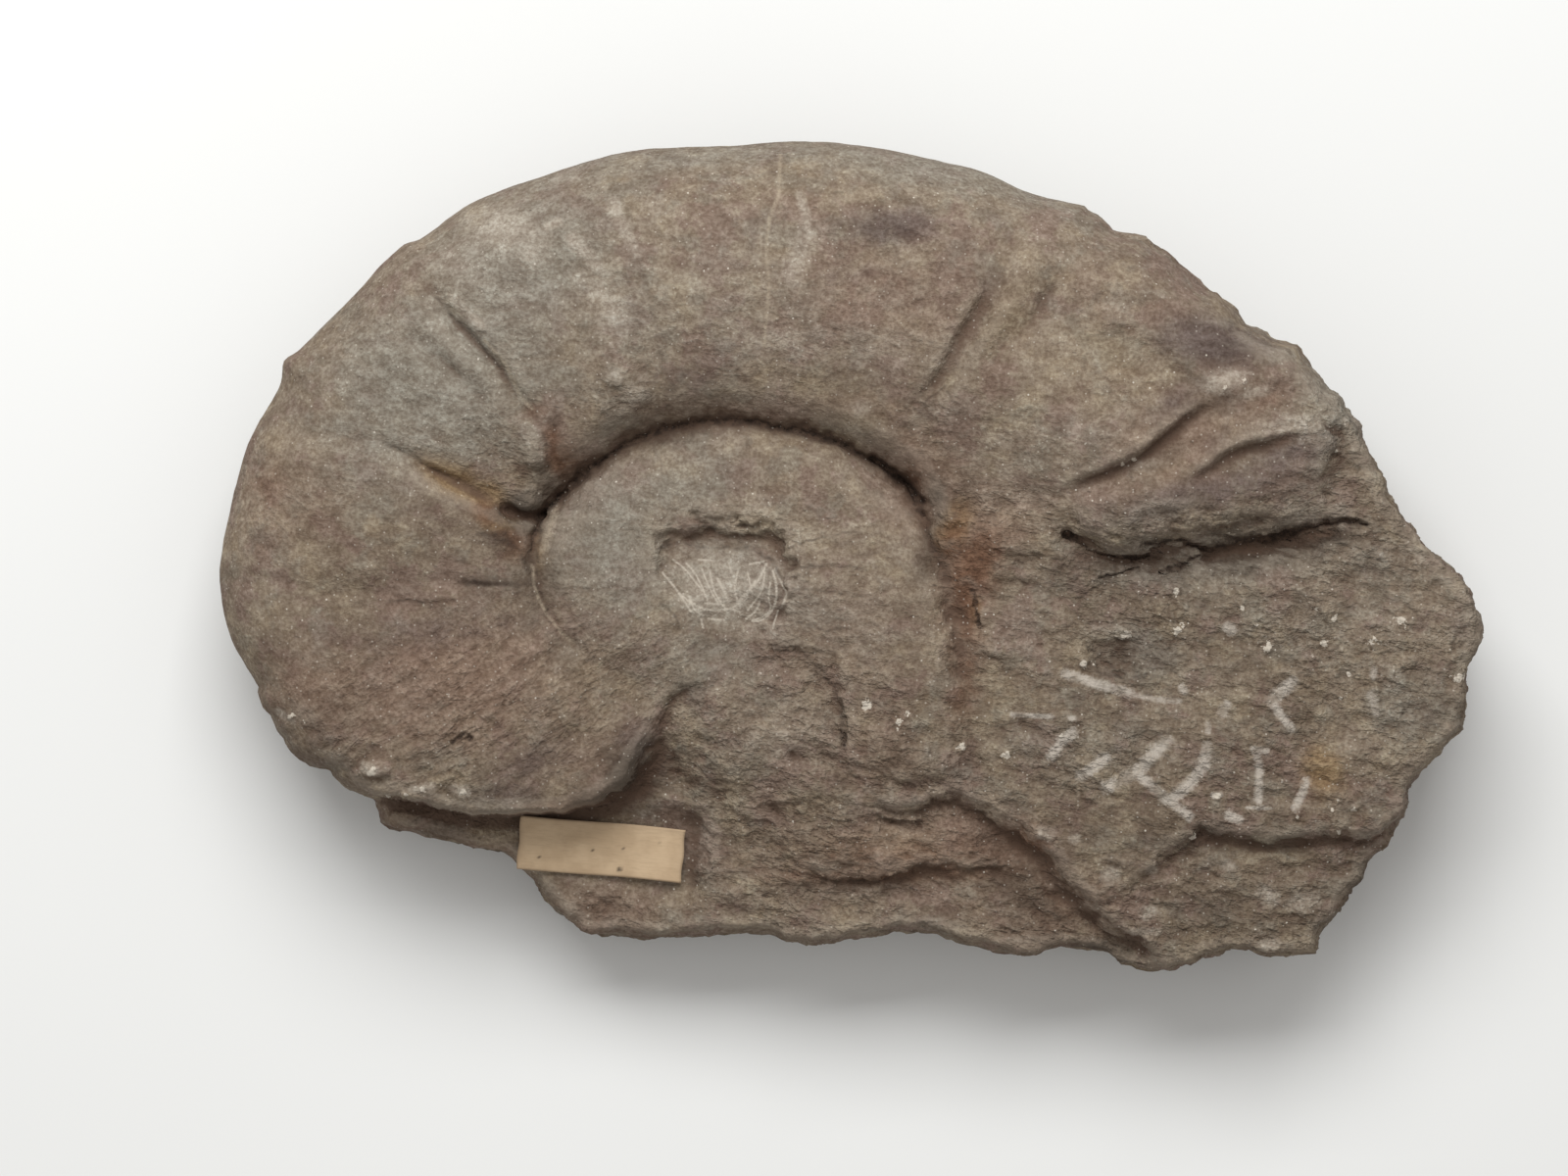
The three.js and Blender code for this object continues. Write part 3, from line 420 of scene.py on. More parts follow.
WARM = [
    (-84, -26, 22, 12, 10, 0.85), (-112, -28, 10, 9, 0, 0.7), (-58, -42, 14, 6, 10, 0.55),
    (-118, 12, 12, 9, 0, 0.5), (8, 54, 22, 11, 0, 0.55), (16, 14, 7, 11, 35, 1),
    (28, 8, 9, 7, 0, 0.8), (24, -8, 5, 14, 0, 0.8), (15, -62, 22, 7, 0, 0.7),
    (31, -62, 6, 6, 0, 1), (45, -76, 14, 7, 0, 0.7), (30, -60, 12, 6, -20, 1),
    (72, 27, 16, 7, 20, 0.7), (62, 14, 12, 5, 10, 0.6), (-2, -18, 20, 15, 0, 0.4),
    (-52, -75, 12, 5, 0, 0.7), (5, -42, 10, 10, 0, 0.5), (-12, 31, 30, 2.5, 0, 0.6),
    (-58, 20, 4, 5, 0, 0.8), (60, 55, 16, 7, -20, 0.4), (-90, -60, 30, 4, 0, 0.5),
    (-90, 16, 14, 5, -10, 0.3), (-10, -66, 30, 6, 0, 0.4), (100, -50, 10, 8, 0, 0.3),
    (-20, 60, 10, 9, 0, 0.3),
]
GREY = [
    (-86, 38, 22, 14, 35, 1), (-70, 62, 18, 12, 30, 0.9), (-50, 2, 10, 12, 0, 0.8),
    (-40, 13, 16, 6, 20, 0.6), (-26, -6, 12, 9, 0, 0.7), (-32, -22, 14, 6, 0, 0.5),
    (22, 82, 40, 5, -10, 0.7), (-40, 84, 40, 4, 5, 0.6), (104, 32, 8, 9, 50, 0.7),
    (78.5, -1.5, 23, 4.5, 5, 0.7), (61.5, -20.5, 8.5, 4.5, -10, 0.7), (118, -32, 6.5, 8.5, 0, 0.5),
    (-22, 56, 12.5, 12.5, 0, 0.4), (-47.5, 50, 12.5, 12.5, 0, 0.45), (-37, 22.5, 19, 3.5, 20, 0.35),
    (49, -40.5, 23, 8.5, 0, 0.35), (-49, 36, 8, 5, 10, 0.4), (95, -15, 25, 10, 0, 0.3),
]
# Soft painted shade where the face lies in shade: below walls and ledges, in clefts and on slopes
# turned from the light
SOFT_SHADE = [
    (-118, -14, 14, 10, 0, 0.15), (-95, -26, 28, 8, 10, 0.15), (-60, -45, 20, 6, 8, 0.2),
    (51, -60.5, 9, 4.5, 0, 0.45), (56, -68, 4, 4, 0, 0.35), (-39, -74, 6, 3, 0, 0.4),
    (-93, -60.3, 9, 1.5, -5, 0.8), (108.5, -70, 3, 6, 0, 0.6), (49, -84.5, 7, 1.6, 0, 0.6),
    (75, -75, 25, 9, 0, 0.35), (55, 5, 8, 3, 5, 0.2), (88, 5, 12, 2, 10, 0.3),
    (61.5, -21, 8, 2.8, -8, 0.6), (96, -34, 4, 4, 0, 0.45), (-70.4, 7.9, 5, 4, 0, 0.95),
    (-66.5, -5, 4.5, 9, 0, 0.75), (-62, -19, 3, 4, 0, 0.4), (-59, 8, 5, 6, 0, 0.45),
    (70, -58, 20, 4, -3, 0.45), (38, -68, 9, 6, 0, 0.5), (20, -77, 8, 3, 0, 0.4),
    (-50, -76, 14, 4, 0, 0.35), (-22, -66.5, 6, 4, 0, 0.3), (-71, 7, 8, 7, 0, 0.45),
    (-66, 14, 5, 4, 40, 0.5), (-40, 26.5, 10, 2.4, 15, 0.6), (-72, -5, 8, 4, 0, 0.4),
    (92, 1, 10, 3, 8, 0.6), (55, -84, 10, 3, 0, 0.5), (78, 27, 8, 3, 20, 0.3),
    (66, 22, 6, 3, 25, 0.5), (75, 48, 8, 6, -20, 0.35), (-59, -23, 3, 6, 0, 0.5),
    (-110, -33, 6, 6, 0, 0.35), (-27, 7, 13, 3.5, 0, 0.15), (-35, 36, 8, 6, 0, 0.35),
    (0, 29, 10, 4, -25, 0.4), (80, -30, 6, 6, 0, 0.2), (124, -34, 5, 5, 0, 0.3),
    (18, 13, 3, 5, -30, 0.6), (-112, 3, 10, 6, 0, 0.2), (-84, 6, 10, 5, 0, 0.25),
    (-46, 24, 6, 5, 40, 0.4), (30, 47, 3, 14, -32, 0.4), (-76, -6, 7, 2.5, 0, 0.4),
    (1, -56, 20, 2, 0, 0.3), (-80.9, -50.8, 15, 1.7, 0, 0.35), (-56, -51, 10, 2.6, 8, 0.55),
    (-46.3, -46.6, 5, 6, 0, 1), (-34.8, -55, 8, 2.2, -5, 0.25), (-85, -49.5, 2.5, 1.6, 0, 0.7),
    (28.1, -58.2, 5, 4, 0, 0.3), (40, -72, 8, 8, 0, 0.7), (91, 2.6, 12, 3.4, 8, 1),
    (73, -2.4, 12, 2.4, 3, 0.5), (51, -2.6, 9, 3, 0, 0.6), (78.4, 42.4, 9, 4.5, 0, 0.6),
    (76.3, 30.9, 7, 2.4, 0, 0.5), (8.2, -42.4, 8, 6, 0, 0.4), (59.5, 60.3, 18, 7, -30, 0.2),
    (100, -76, 8, 6, 0, 0.5), (-26, 31, 20, 1.6, 2, 0.2), (19, 4, 3, 9, -25, 0.9),
    (108, -68, 5, 5, 0, 0.5),
]
# The stone's tan tone; the spots on the strip left of the label are painted light on its shade
TAN = [
    (-75, -59.5, 5, 2.6, 0, 1), (-100, -56, 6, 3, 0, 0.5), (-18, 5, 6, 3, -30, 0.5),
    (-30, 10, 12, 2.5, 0, 0.4), (30, -54, 4, 2, -30, 0.5), (55, -17.5, 4, 2, 0, 0.6),
    (8, -61, 12, 3, 0, 0.4), (-12, -52, 8, 2.5, 0, 0.5), (-56, -54.5, 8, 1.5, -4, 0.4),
    (32.3, 49.8, 3.5, 9, -32, 0.7), (38, 11, 10, 4, 10, 0.4), (3, 30, 8, 5, 0, 0.4),
    (-70, 8, 3, 2, 0, 0.3), (-80, 62, 14, 10, 40, 0.35), (0, 76, 26, 5, 0, 0.3),
    (-118, 20, 8, 10, 60, 0.25), (56, 40, 14, 10, 20, 0.4), (-55, -30, 14, 9, 20, 0.35),
    (-70, 16, 4, 4, 0, 0.4), (66, 17, 9, 3, 20, 0.35), (-20, 48, 8, 8, 0, 0.2),
    (100, -58, 10, 6, 0, 0.2), (-100, 40, 8, 8, 0, 0.2), (12, 27, 14, 4, -40, 0.2),
    (-99, -40, 8, 5, 0, 0.25),
]
# The stone's pale tone; the spots just past the label's ends are painted light on their shade
PALE = [
    (-76, 57, 14, 7, -30, 0.28), (0, 44, 30, 5, -5, 0.35), (3, -15, 7, 7, 0, 0.3),
    (-26, 9.5, 12, 2.6, 0, 0.4), (-11, 4, 3, 3, 0, 0.45), (22, 31, 6, 3, 0, 0.35),
    (7, 39, 5, 4, 0, 0.3), (-30, -60, 3, 6, 0, 0.35), (-74, -58.5, 5, 3, 0, 0.35),
    (65, 1.2, 4, 1.4, 0, 0.7), (-14, -33, 12, 4, 0, 0.3), (59.5, 19.4, 4, 1.5, 0, 0.4),
    (55, -15, 4, 2, 0, 0.45), (95, 10, 7, 2.5, 20, 0.4), (114, -1, 9, 5, -10, 0.35),
    (130, -15, 4, 5, 0, 0.45), (28, -53, 7, 1.8, -30, 0.4), (44, -70, 2, 5, 40, 0.3),
    (38, 12, 12, 4, 8, 0.35), (-14, -12, 14, 6, 0, 0.45), (46, 25, 14, 8, 10, 0.28),
    (92, 27, 9, 2.5, 8, 0.5), (-27, -3.5, 9, 5, 0, 0.6), (1, -71.5, 14, 2.5, 0, 0.3),
    (-14, -51, 8, 3, 0, 0.3), (64, 9, 4, 2, 0, 0.6), (95, 7.5, 4, 1.6, 10, 0.5),
    (-13, -40, 8, 6, 0, 0.3), (-26, 8, 10, 3, 0, 0.3), (36, 17, 10, 4, 0, 0.25),
    (98, 14, 7, 3, 20, 0.3), (-72.5, 69, 6.5, 4, -20, 0.75), (-67.5, 63.5, 4, 2.5, -30, 0.6),
    (-50.5, 51, 3, 5.5, 15, 0.8), (-56, 59, 3, 1.5, -20, 0.5), (-40.5, 74, 2.5, 2, 0, 0.4),
    (-87, 48.5, 2.5, 1.5, 0, 0.4), (-60, 80.5, 3.5, 2, 20, 0.45), (-11, 63, 2, 6, -5, 0.75),
    (-49.5, 38, 2.5, 1.5, 0, 0.6), (-45, 33.5, 3, 1.5, -15, 0.6), (3, 31, 2.5, 1.5, 0, 0.5),
    (-67.5, 23.5, 2.5, 3, 30, 0.5), (78.5, 36.5, 4, 1.8, 10, 0.9), (93, 27.5, 6, 1.6, 8, 0.85),
    (91, 41.5, 2.5, 1.5, 0, 0.4), (-26.5, 1.5, 9.5, 4, 0, 0.25), (-26.5, -7, 8.5, 5, 0, 0.7),
    (-87, 56, 6.5, 4, 0, 0.2), (36.5, -15, 4.5, 8.5, 0, 0.3), (110, -40.5, 6.5, 3.5, 10, 0.3),
    (-20, -39.5, 1.5, 3, -25, 0.55), (56.5, 51, 3, 1.5, -20, 0.35), (62.5, 46.5, 3, 1.5, -30, 0.3),
    (19.5, -42.5, 4, 2, 0, 0.3), (-8, 68, 2, 3, 10, 0.4), (84, 34, 5, 1.2, 15, 0.5),
    (112, 34, 4, 3, 0, 0.2),
]
# Painted light, partly also the stone's own lighter tone: where the face is brighter, as on the top
# of the flank that faces the window
LIT = [
    (-25, 62, 75, 17, 0, 1), (-88, 42, 22, 18, 40, 0.95), (-13.8, 49.8, 24, 9, 0, 1),
    (3, -15, 9, 9, 0, 1), (-13.8, -40.3, 11, 8, 0, 1), (72, -29, 9, 5, 0, 0.7),
    (108, -38, 9, 7, 0, 0.7), (112, -14, 14, 9, 0, 1), (98, -16, 8, 6, 0, 0.6),
    (38, 13, 16, 6, 10, 1), (-52, -75, 14, 6, 0, 0.7), (22, -72, 20, 7, 0, 0.5),
    (44, 48, 26, 17, -28, 0.85), (50, 28, 24, 9, 10, 1), (92, 27, 10, 3, 8, 1),
    (-30, 2, 36, 22, 0, 0.9), (5, 0, 18, 24, 0, 0.8), (36, 18, 15, 10, 0, 1),
    (105, -8, 22, 9, -10, 0.6), (40, -12, 12, 12, 0, 0.6), (-26.5, -6, 14, 10, 0, 1),
    (-62, -22, 12, 8, 0, 0.4), (115, -35, 10, 10, 0, 0.4), (10, -36, 12, 12, 0, 0.4),
    (-20, -42, 22, 14, 0, 0.45), (0, -72, 48, 9, 0, 0.7), (-95, -4, 20, 6, 0, 0.3),
    (-14, -12, 16, 7, 0, 1), (-75, -59.5, 6, 3, 0, 1), (-100, -56, 6, 3, 0, 0.8),
    (68, 2.5, 5, 1.6, 0, 0.8), (64, 9, 5, 2.5, 0, 0.9), (95, 7, 5, 2, 10, 1),
    (98, 20, 6, 6, 0, 0.9), (2, -71, 16, 3, 0, 1), (-127, 8, 10, 26, 0, 0.9),
    (-29, -30, 12, 9, 0, 0.8), (-3, -17, 13, 12, 0, 0.9), (97, 13, 10, 5, 20, 0.8),
    (66, 10, 9, 4, 5, 0.6), (12.4, -55, 9, 3.5, 0, 0.9), (-97.7, -51.9, 6, 4, 0, 0.6),
    (-85, -30, 24, 10, 10, 0.35), (80, -45, 26, 12, 0, 0.3), (-45, -68, 24, 9, 0, 0.5),
]
# Where the shell is worn to scales that slant
SLANTING = [(-80, -32, 40, 17, 15, 1.2), (-120, -25, 14, 14, 0, 0.8)]
# Strokes: half width and the points that each follows. Faint smears of chalk are pale strokes.
PALE_STROKES = [
    (1.5, [(-58.5, 67), (-56, 64), (-53, 60.5)]), (1.5, [(-50, 74.5), (-47.5, 69), (-45, 64)]),
    (1.2, [(-84, 54.5), (-81, 51.5), (-78, 48.5)]), (1, [(-10.5, 76), (-9, 71), (-8.5, 67)]),
    (1.6, [(41.3, -58.6), (42.4, -58.9)]), (1, [(47.5, -60.1), (48.2, -59.9)]),
    (1.6, [(55, -68.1), (56.2, -67.5)]), (1.1, [(64.2, -66.6), (64.8, -66.8)]),
    (1.3, [(63.4, -76.4), (64.6, -75.4)]), (2.2, [(95.3, -74.2), (98.3, -73.2)]),
    (1.4, [(88.8, -83.2), (90.6, -82.8)]), (1.8, [(88.2, -71.6), (90.2, -73)]),
    (1.1, [(80.6, -65.8), (81.2, -65.9)]), (0.8, [(60.5, -80), (66, -80)]),
    (1.3, [(-102.8, -44.6), (-100.8, -45.6)]), (0.9, [(-92.6, -49.5), (-88.2, -48.9)]),
    (1.2, [(-83.5, -49.2), (-81.5, -50)]), (0.8, [(-121.5, -33), (-118.2, -35.2)]),
    (1, [(-64, 69.5), (-61.5, 70.5)]), (1, [(87.2, 26.1), (90.8, 26.5), (94.7, 26.9), (98.9, 28)]),
]
CHALK = [
    (1.2, [(45.8, -24.9), (49, -26), (53, -27.3), (57, -28.4), (59.5, -29.2)]),
    (0.7, [(59.5, -29.3), (65, -30.4), (70, -30.9)]),
    (0.6, [(34.5, -33.5), (38.5, -33.9), (42.9, -34)]), (0.7, [(46.8, -34.3), (47.4, -34.4)]),
    (1.3, [(47.3, -37.5), (45, -39.6), (42.9, -42.4)]),
    (1.3, [(54.4, -42.8), (52, -44.6), (49.1, -46.8)]),
    (1.5, [(67.2, -39.3), (64.5, -42), (61.9, -45), (58, -47.5), (54.4, -49)]),
    (1.2, [(61.5, -46.4), (66.3, -50.8), (72.1, -55.2)]),
    (1.4, [(75.8, -40.6), (75.2, -44.5), (72.5, -48), (69, -51.2)]),
    (0.7, [(76, -35.8), (76, -37.1)]), (1.3, [(79, -33.3), (79.8, -31.8)]),
    (1, [(86.3, -41.5), (87, -46), (86.8, -51.8)]), (0.7, [(85.5, -40.8), (88.5, -41.3)]),
    (1, [(97, -47.7), (96, -50.5), (94.6, -53.4)]),
    (1.5, [(93.7, -26.9), (91.4, -28.8), (89.3, -30.9)]),
    (1, [(89.3, -30.9), (91.3, -33.5), (93.7, -36.6)]), (0.8, [(110.9, -24), (110.9, -25.6)]),
    (1, [(110.5, -29.2), (111.4, -33.2)]), (1, [(70.5, -28), (70.9, -28.6)]),
    (1.3, [(80, -15.1), (80.8, -15.7)]), (0.4, [(84.3, -53.4), (89.6, -53.6)]),
    (0.8, [(77.3, -50.8), (78.5, -50.6)]), (1.2, [(80.5, -55), (82.5, -56)]),
]
SCRATCHES = [
    (0.2, [(-39.5, -3.5), (-36.3, -7.5), (-33.9, -9.6), (-31.2, -11.1), (-28.5, -11.6),
      (-25.5, -11.2), (-23.1, -11.9)]),
    (0.17, [(-37.3, -0.8), (-35.1, -2.5), (-33.2, -4.8), (-31.2, -7.5)]),
    (0.17, [(-33.9, -8.6), (-32.6, -11.6), (-30.9, -12.6)]),
    (0.27, [(-27.9, -4.8), (-26.8, -6.9), (-25.8, -9.2)]),
    (0.17, [(-31.2, -2.8), (-29.9, -6.2), (-27.9, -9.9)]), (0.2, [(-31.9, -0.8), (-28.9, -1)]),
    (0.17, [(-25.5, -1.5), (-25, -3.5)]), (0.2, [(-21.1, -1.7), (-18.1, -1.2)]),
    (0.3, [(-17.6, -1.8), (-18.8, -4.5), (-21.8, -7.9), (-23.8, -10.2)]),
    (0.2, [(-19.8, -5.2), (-22.5, -8.9), (-24.5, -10.9)]),
    (0.23, [(-16.1, -3.2), (-15.4, -6.2), (-15.6, -9.9), (-16.4, -11.6), (-18.4, -13.6),
      (-20.5, -13.8)]),
    (0.17, [(-16.7, -5.5), (-17, -9.2), (-16.6, -11.2), (-18.4, -12.9), (-20.5, -13.6)]),
    (0.2, [(-15.7, -2.8), (-14.2, -5.9), (-13.2, -7.9), (-14.2, -10.6)]),
    (0.17, [(-15.1, -11.6), (-16.1, -15.3)]),
    (0.23, [(-18.9, -9.6), (-19.8, -11.6), (-21.8, -13.3)]),
    (0.17, [(-31.4, -13.3), (-30.9, -15.3)]), (0.17, [(-29.9, -13.3), (-26.5, -13.6)]),
    (0.17, [(-34.5, -1.5), (-32.5, -4), (-30, -9.5)]),
    (0.17, [(-29.5, -3.5), (-28.6, -7.5), (-26.5, -11)]),
    (0.17, [(-23.5, -3), (-24.2, -7), (-23, -11)]), (0.17, [(-21.5, -3.5), (-20.5, -8)]),
    (0.17, [(-38.5, -4.6), (-35.5, -8.6), (-33.5, -11.8)]),
    (0.17, [(-17.8, -3.5), (-18.6, -7.5), (-21.5, -11.5)]), (0.17, [(-30.5, -10), (-26.5, -10.4)]),
]
LIGHT_LINES = [
    (0.4, [(-14.5, 85), (-15, 76), (-17, 70.5)]),
    (0.35, [(-17, 70.5), (-17.5, 64.5), (-17, 56), (-18, 44)]),
    (0.35, [(-77, 45.5), (-72.5, 40.5), (-69.5, 34), (-67, 31)]),
    (0.9, [(-62.7, 11), (-63.2, 6), (-64.6, 1.6)]),
    (0.3, [(-67.1, -2), (-66.6, -6), (-65.8, -9), (-64.2, -12), (-61.2, -16), (-58.5, -18.5)]),
]
# Mostly painted shade along ledges, cracks and the feet of walls
DARK_LINES = [
    (0.25, [(-3.5, 76.5), (-1.5, 76.5)]), (0.25, [(14, 45), (18, 44.5)]),
    (0.22, [(16, 32.5), (18.5, 34), (20, 35.5)]), (0.22, [(20.5, 34.5), (21.5, 32.5), (23, 31.5)]),
    (0.2, [(11.5, 28), (13, 25.5), (15, 25)]),
    (0.25, [(-16, -66.6), (-10.7, -68.2), (-3.5, -69.4), (0.8, -69.1), (9.2, -68.3)]),
    (0.25, [(9.2, -68.3), (15.5, -66), (26, -66.7), (36.5, -65)]),
    (0.25, [(3, -53.5), (8.2, -56.4), (12.5, -57)]), (0.2, [(53.2, 3.7), (57.8, 4.9), (61.8, 4.5)]),
    (0.22, [(66.4, 6.3), (70, 7.5), (72.1, 9.3), (74, 9.8)]), (0.22, [(75, 6.6), (79.6, 6.6)]),
    (0.22, [(80.7, 4.9), (86.8, 4.7)]), (0.22, [(85.7, 7.5), (91.4, 7.5)]),
    (0.25, [(49, -23.5), (54.5, -25.2), (59.5, -26.8), (64, -26)]),
    (0.2, [(14.5, -77.5), (16.5, -78.5)]), (0.25, [(3, -80.3), (11.5, -81), (16.6, -80.6)]),
    (0.22, [(-47.4, 38.3), (-48, 36.2), (-50.1, 34.9)]), (0.2, [(-44.2, 38.9), (-41.9, 40.4)]),
    (0.22, [(-64.6, 25.7), (-63.9, 22.5), (-63.7, 18.8)]),
    (0.22, [(-68.3, 19.6), (-66.7, 18.8), (-65, 19.6)]), (0.2, [(-88, 34.5), (-84.5, 33.8)]),
    (0.3, [(-102, -60), (-99.5, -60.3)]),
    (0.35, [(-65.2, 5.5), (-66.3, 1.5), (-66.3, -5), (-64.8, -9.5), (-63.2, -12)]),
    (0.9, [(-80.8, -5.6), (-77, -5.2), (-73, -5.8), (-70.2, -6.2)]),
    (0.25, [(-70, -6), (-62, -6.8), (-55, -7)]), (0.5, [(-78.5, 4.6), (-75.5, 4.4), (-72.6, 4.8)]),
    (0.6, [(-73.5, 3.5), (-69.8, 0.8), (-68.2, -2.6)]),
    (0.35, [(-97.7, 23.4), (-93.5, 22), (-89.3, 19.3), (-85.1, 17.2)]),
    (0.3, [(-87.5, 54.6), (-83, 49.6), (-76.7, 43.3), (-73.6, 40)]),
    (0.4, [(-40.7, 1.4), (-36.9, 2.8), (-32.7, 1.8), (-26.4, 2), (-20.1, 1.6), (-16.3, -0.9),
      (-14.5, -4.7)]),
    (0.3, [(-38, 5.5), (-33, 6.5), (-28, 5.8)]), (0.3, [(-24, 6.5), (-18, 5.4)]),
    (0.3, [(-97, -9.5), (-90, -9.9), (-83, -9.6)]), (0.3, [(-40, -10), (-37, -12.5), (-36, -15)]),
    (0.25, [(-11, -14), (-5, -16), (0, -15)]),
    (0.5, [(-16, -19), (-9, -21.5), (-3, -27.5), (-1.4, -34), (-1.2, -40)]),
    (0.25, [(-12, -3), (-4, -2), (4, -3)]), (0.25, [(-12, -7), (-2, -8), (7, -10)]),
    (0.2, [(-13, 1.5), (-5, 4), (2, 5)]), (0.35, [(50, -19), (54, -22), (58, -26.5), (63, -25)]),
]
# Crumbs of white calcite: x, y and reach
CHIPS = [
    (57.9, -16.8, 1.3), (69.4, -15.8, 1.1), (70.6, -14.6, 0.9), (69.1, -7.5, 0.9), (49.5, -22.8, 1),
    (88.4, -19.4, 1.2), (100.3, -18.5, 1.2), (102.1, -13.2, 0.9), (110.3, -18.4, 1.3),
    (116.7, -13.7, 1.2), (129, -25.8, 1.3), (33.3, -42.4, 1.2), (77.8, -50.8, 1),
    (72.9, -59.6, 0.8), (83, -11, 0.5), (99, -11, 0.6), (98, -21, 0.6), (103.5, -52, 0.6),
    (102.5, -54, 0.5), (104, -58.5, 0.6), (10.5, -35, 1.3), (12.5, -33.5, 1), (4, -31.5, 1),
    (24, -40.5, 0.8), (-101.2, -45.6, 0.9), (-98.3, -51, 0.6), (-93.9, -50.4, 0.6),
    (-90.4, -49.3, 0.7), (-82, -49.9, 0.8), (-118.5, -34, 0.8), (-115, -35.5, 0.7), (57, 19.3, 0.5),
    (59.5, 20.2, 0.5), (56.5, 15.2, 0.4), (61, 17.2, 0.4), (75.5, 38.5, 0.6), (82.5, 36.5, 0.6),
    (78.5, 35, 0.5), (86, -14.5, 0.6), (107, -53.5, 0.5), (104, -30, 0.5), (95, -55.5, 0.5),
    (51.5, -23.2, 0.6), (105.5, -25, 0.5), (127, -20, 0.6), (45, -38, 0.6), (102.5, 22, 0.5),
    (89, 5.3, 0.4), (101, -4, 0.4),
]
# Stretches of the shell whose surface is rough, as spots
WORN_SHELL = [
    (-80, -35, 45, 16, 20, 0.75), (7, 69.5, 12, 5, 0, 0.35), (-27, 6, 15, 4.5, 0, 0.7),
    (-38, -1, 5, 8, 0, 0.6), (78, 6.5, 32, 5, 5, 1), (106, 24, 9, 14, 60, 0.9),
    (10, -36, 18, 16, 0, 0.8), (-45, 33, 10, 5, 10, 0.4), (-68, 14, 8, 8, 0, 0.5),
    (-60, -20, 12, 10, 0, 0.4), (15, 30, 12, 6, -35, 0.4),
]

# Bedding and growth lines, along which relief and colours are drawn out: turns, and sizes of
# patterns along X, Y and Z
BEDDING_TURN = 10.0
WORN_TURN = -35.0  # the same where the shell is worn
GROWTH_LENGTH = 40.0
RELIEF_STEPS = 8.0
FINE_STEPS = 7.0
STEP_SIZES = (8.0, 2.8, 3.0)
FACET_SIZE = 1.9
FACET_STRAY = 2.4
FACET_STRAY_SCALE = 0.45
DASH_TURN = 15.0
DASH_SIZES = (4.2, 1.3, 2.0)
# Noises by name. Drawn-out ones: sizes, detail, roughness and distortion
DRAWN_OUT = {
    "flakes": ((4.0, 2.4, 2.8), 3.0, 0.54, 0.3),
    "creases": ((6.5, 2.6, 3.0), 2.0, 0.5, 0.9),
    "streaks": ((4.0, 38.0, 38.0), 4.0, 0.6),
    "fibres": ((3.0, 0.35, 1.0), 4.0, 0.65),
}
# Plain ones: size, detail and roughness, and for some how far the pattern is shifted
NOISES = {
    "broad": (42.0, 3.0, 0.55), "patches": (11.0, 5.0, 0.65), "green_patches": (8.0, 4.0, 0.6),
    "ragged_edge": (6.0, 7.0, 0.72), "mottle": (4.6, 3.0, 0.6), "grain": (0.8, 3.0, 0.65),
    "crease_gaps": (6.0, 3.0, 0.55), "powder": (0.9, 5.0, 0.78), "worn_chalk": (4.5, 3.0, 0.55),
    "crumb_edge": (1.9, 4.0, 0.65), "line_gaps": (1.6, 5.0, 0.7), "uneven": (22.0, 3.0, 0.6),
    "calcite": (1.2, 3.0, 0.55), "blotches": (7.0, 3.0, 0.55), "floor": (400.0, 2.0, 0.55),
}
SHIFTS = {"green_patches": (300, 0, 0), "mottle": (0, 0, 200), "uneven": (0, 500, 0)}

# Loose crumbs: the least and the most of their three sizes, as shares, and how they are spread
CRUMB_LEAST = (0.5, 0.5, 0.2)
CRUMB_MOST = (1.3, 1.3, 0.5)
CRUMB_SEED = 3
FULL_TURN = 6.28  # radians
CHIP_SPREAD = {"Where": "chips", "Density": 0.8e5, "Smallest": 1e-4, "Largest": 2.8e-4}
GRIT_SPREAD = {"Where": "grit", "Density": 1.2e4, "Seed": 19, "Largest": 5e-4}

# Colours, as red, green and blue. Two of a kind are mixed in patches.
# Painted lit and painted shaded copies of the stone's ground, mixed by the lit spots; each also
# holds some of the stone's own tone
LIT_STONE = [(0.240, 0.192, 0.146), (0.258, 0.209, 0.157)]
SHADED_STONE = [(0.158, 0.121, 0.088), (0.178, 0.137, 0.099)]
STREAK = (0.140, 0.104, 0.080)
CREASE_SHADE = (0.070, 0.052, 0.040)
CHALK_DUST = (0.420, 0.374, 0.322)
WHITE_CRUMB = (0.520, 0.465, 0.390)
# Painted glints
PAINTED_GLINT = (0.560, 0.510, 0.440)
# Painted shadows of tiny ledges, as short dark dashes
PAINTED_DASH_SHADOW = (0.060, 0.045, 0.036)
CALCITE = [(0.420, 0.360, 0.290), (0.640, 0.590, 0.520)]
PAPER = [(0.450, 0.325, 0.204), (0.525, 0.388, 0.250)]
PAPER_FIBRE = (0.330, 0.238, 0.150)
PAPER_EDGE = (0.240, 0.165, 0.105)
PAPER_SPECK = (0.050, 0.035, 0.025)
PALE_FLOOR = [(0.70, 0.70, 0.69), (0.73, 0.73, 0.72)]
# Covers, in their order: the noise or the mark, the span over which it sets in, strength, colour
PATCHES = [
    ("patches", 0.50, 0.60, 0.62, (0.178, 0.122, 0.100)),
    ("patches", 0.48, 0.36, 0.55, (0.286, 0.232, 0.162)),
    ("green_patches", 0.50, 0.62, 0.45, (0.180, 0.160, 0.128)),
]
# Painted shade in the hollows, partly dirt, and a painted highlight on the brows, partly wear
HOLLOWS = [
    ("hollow", 0.05, 0.8, 0.72, (0.080, 0.048, 0.033)),
    ("hollow_wide", 0.6, 3.6, 0.50, (0.100, 0.062, 0.043)),
    ("hollow", -0.08, -0.7, 0.16, (0.400, 0.345, 0.280)),
]
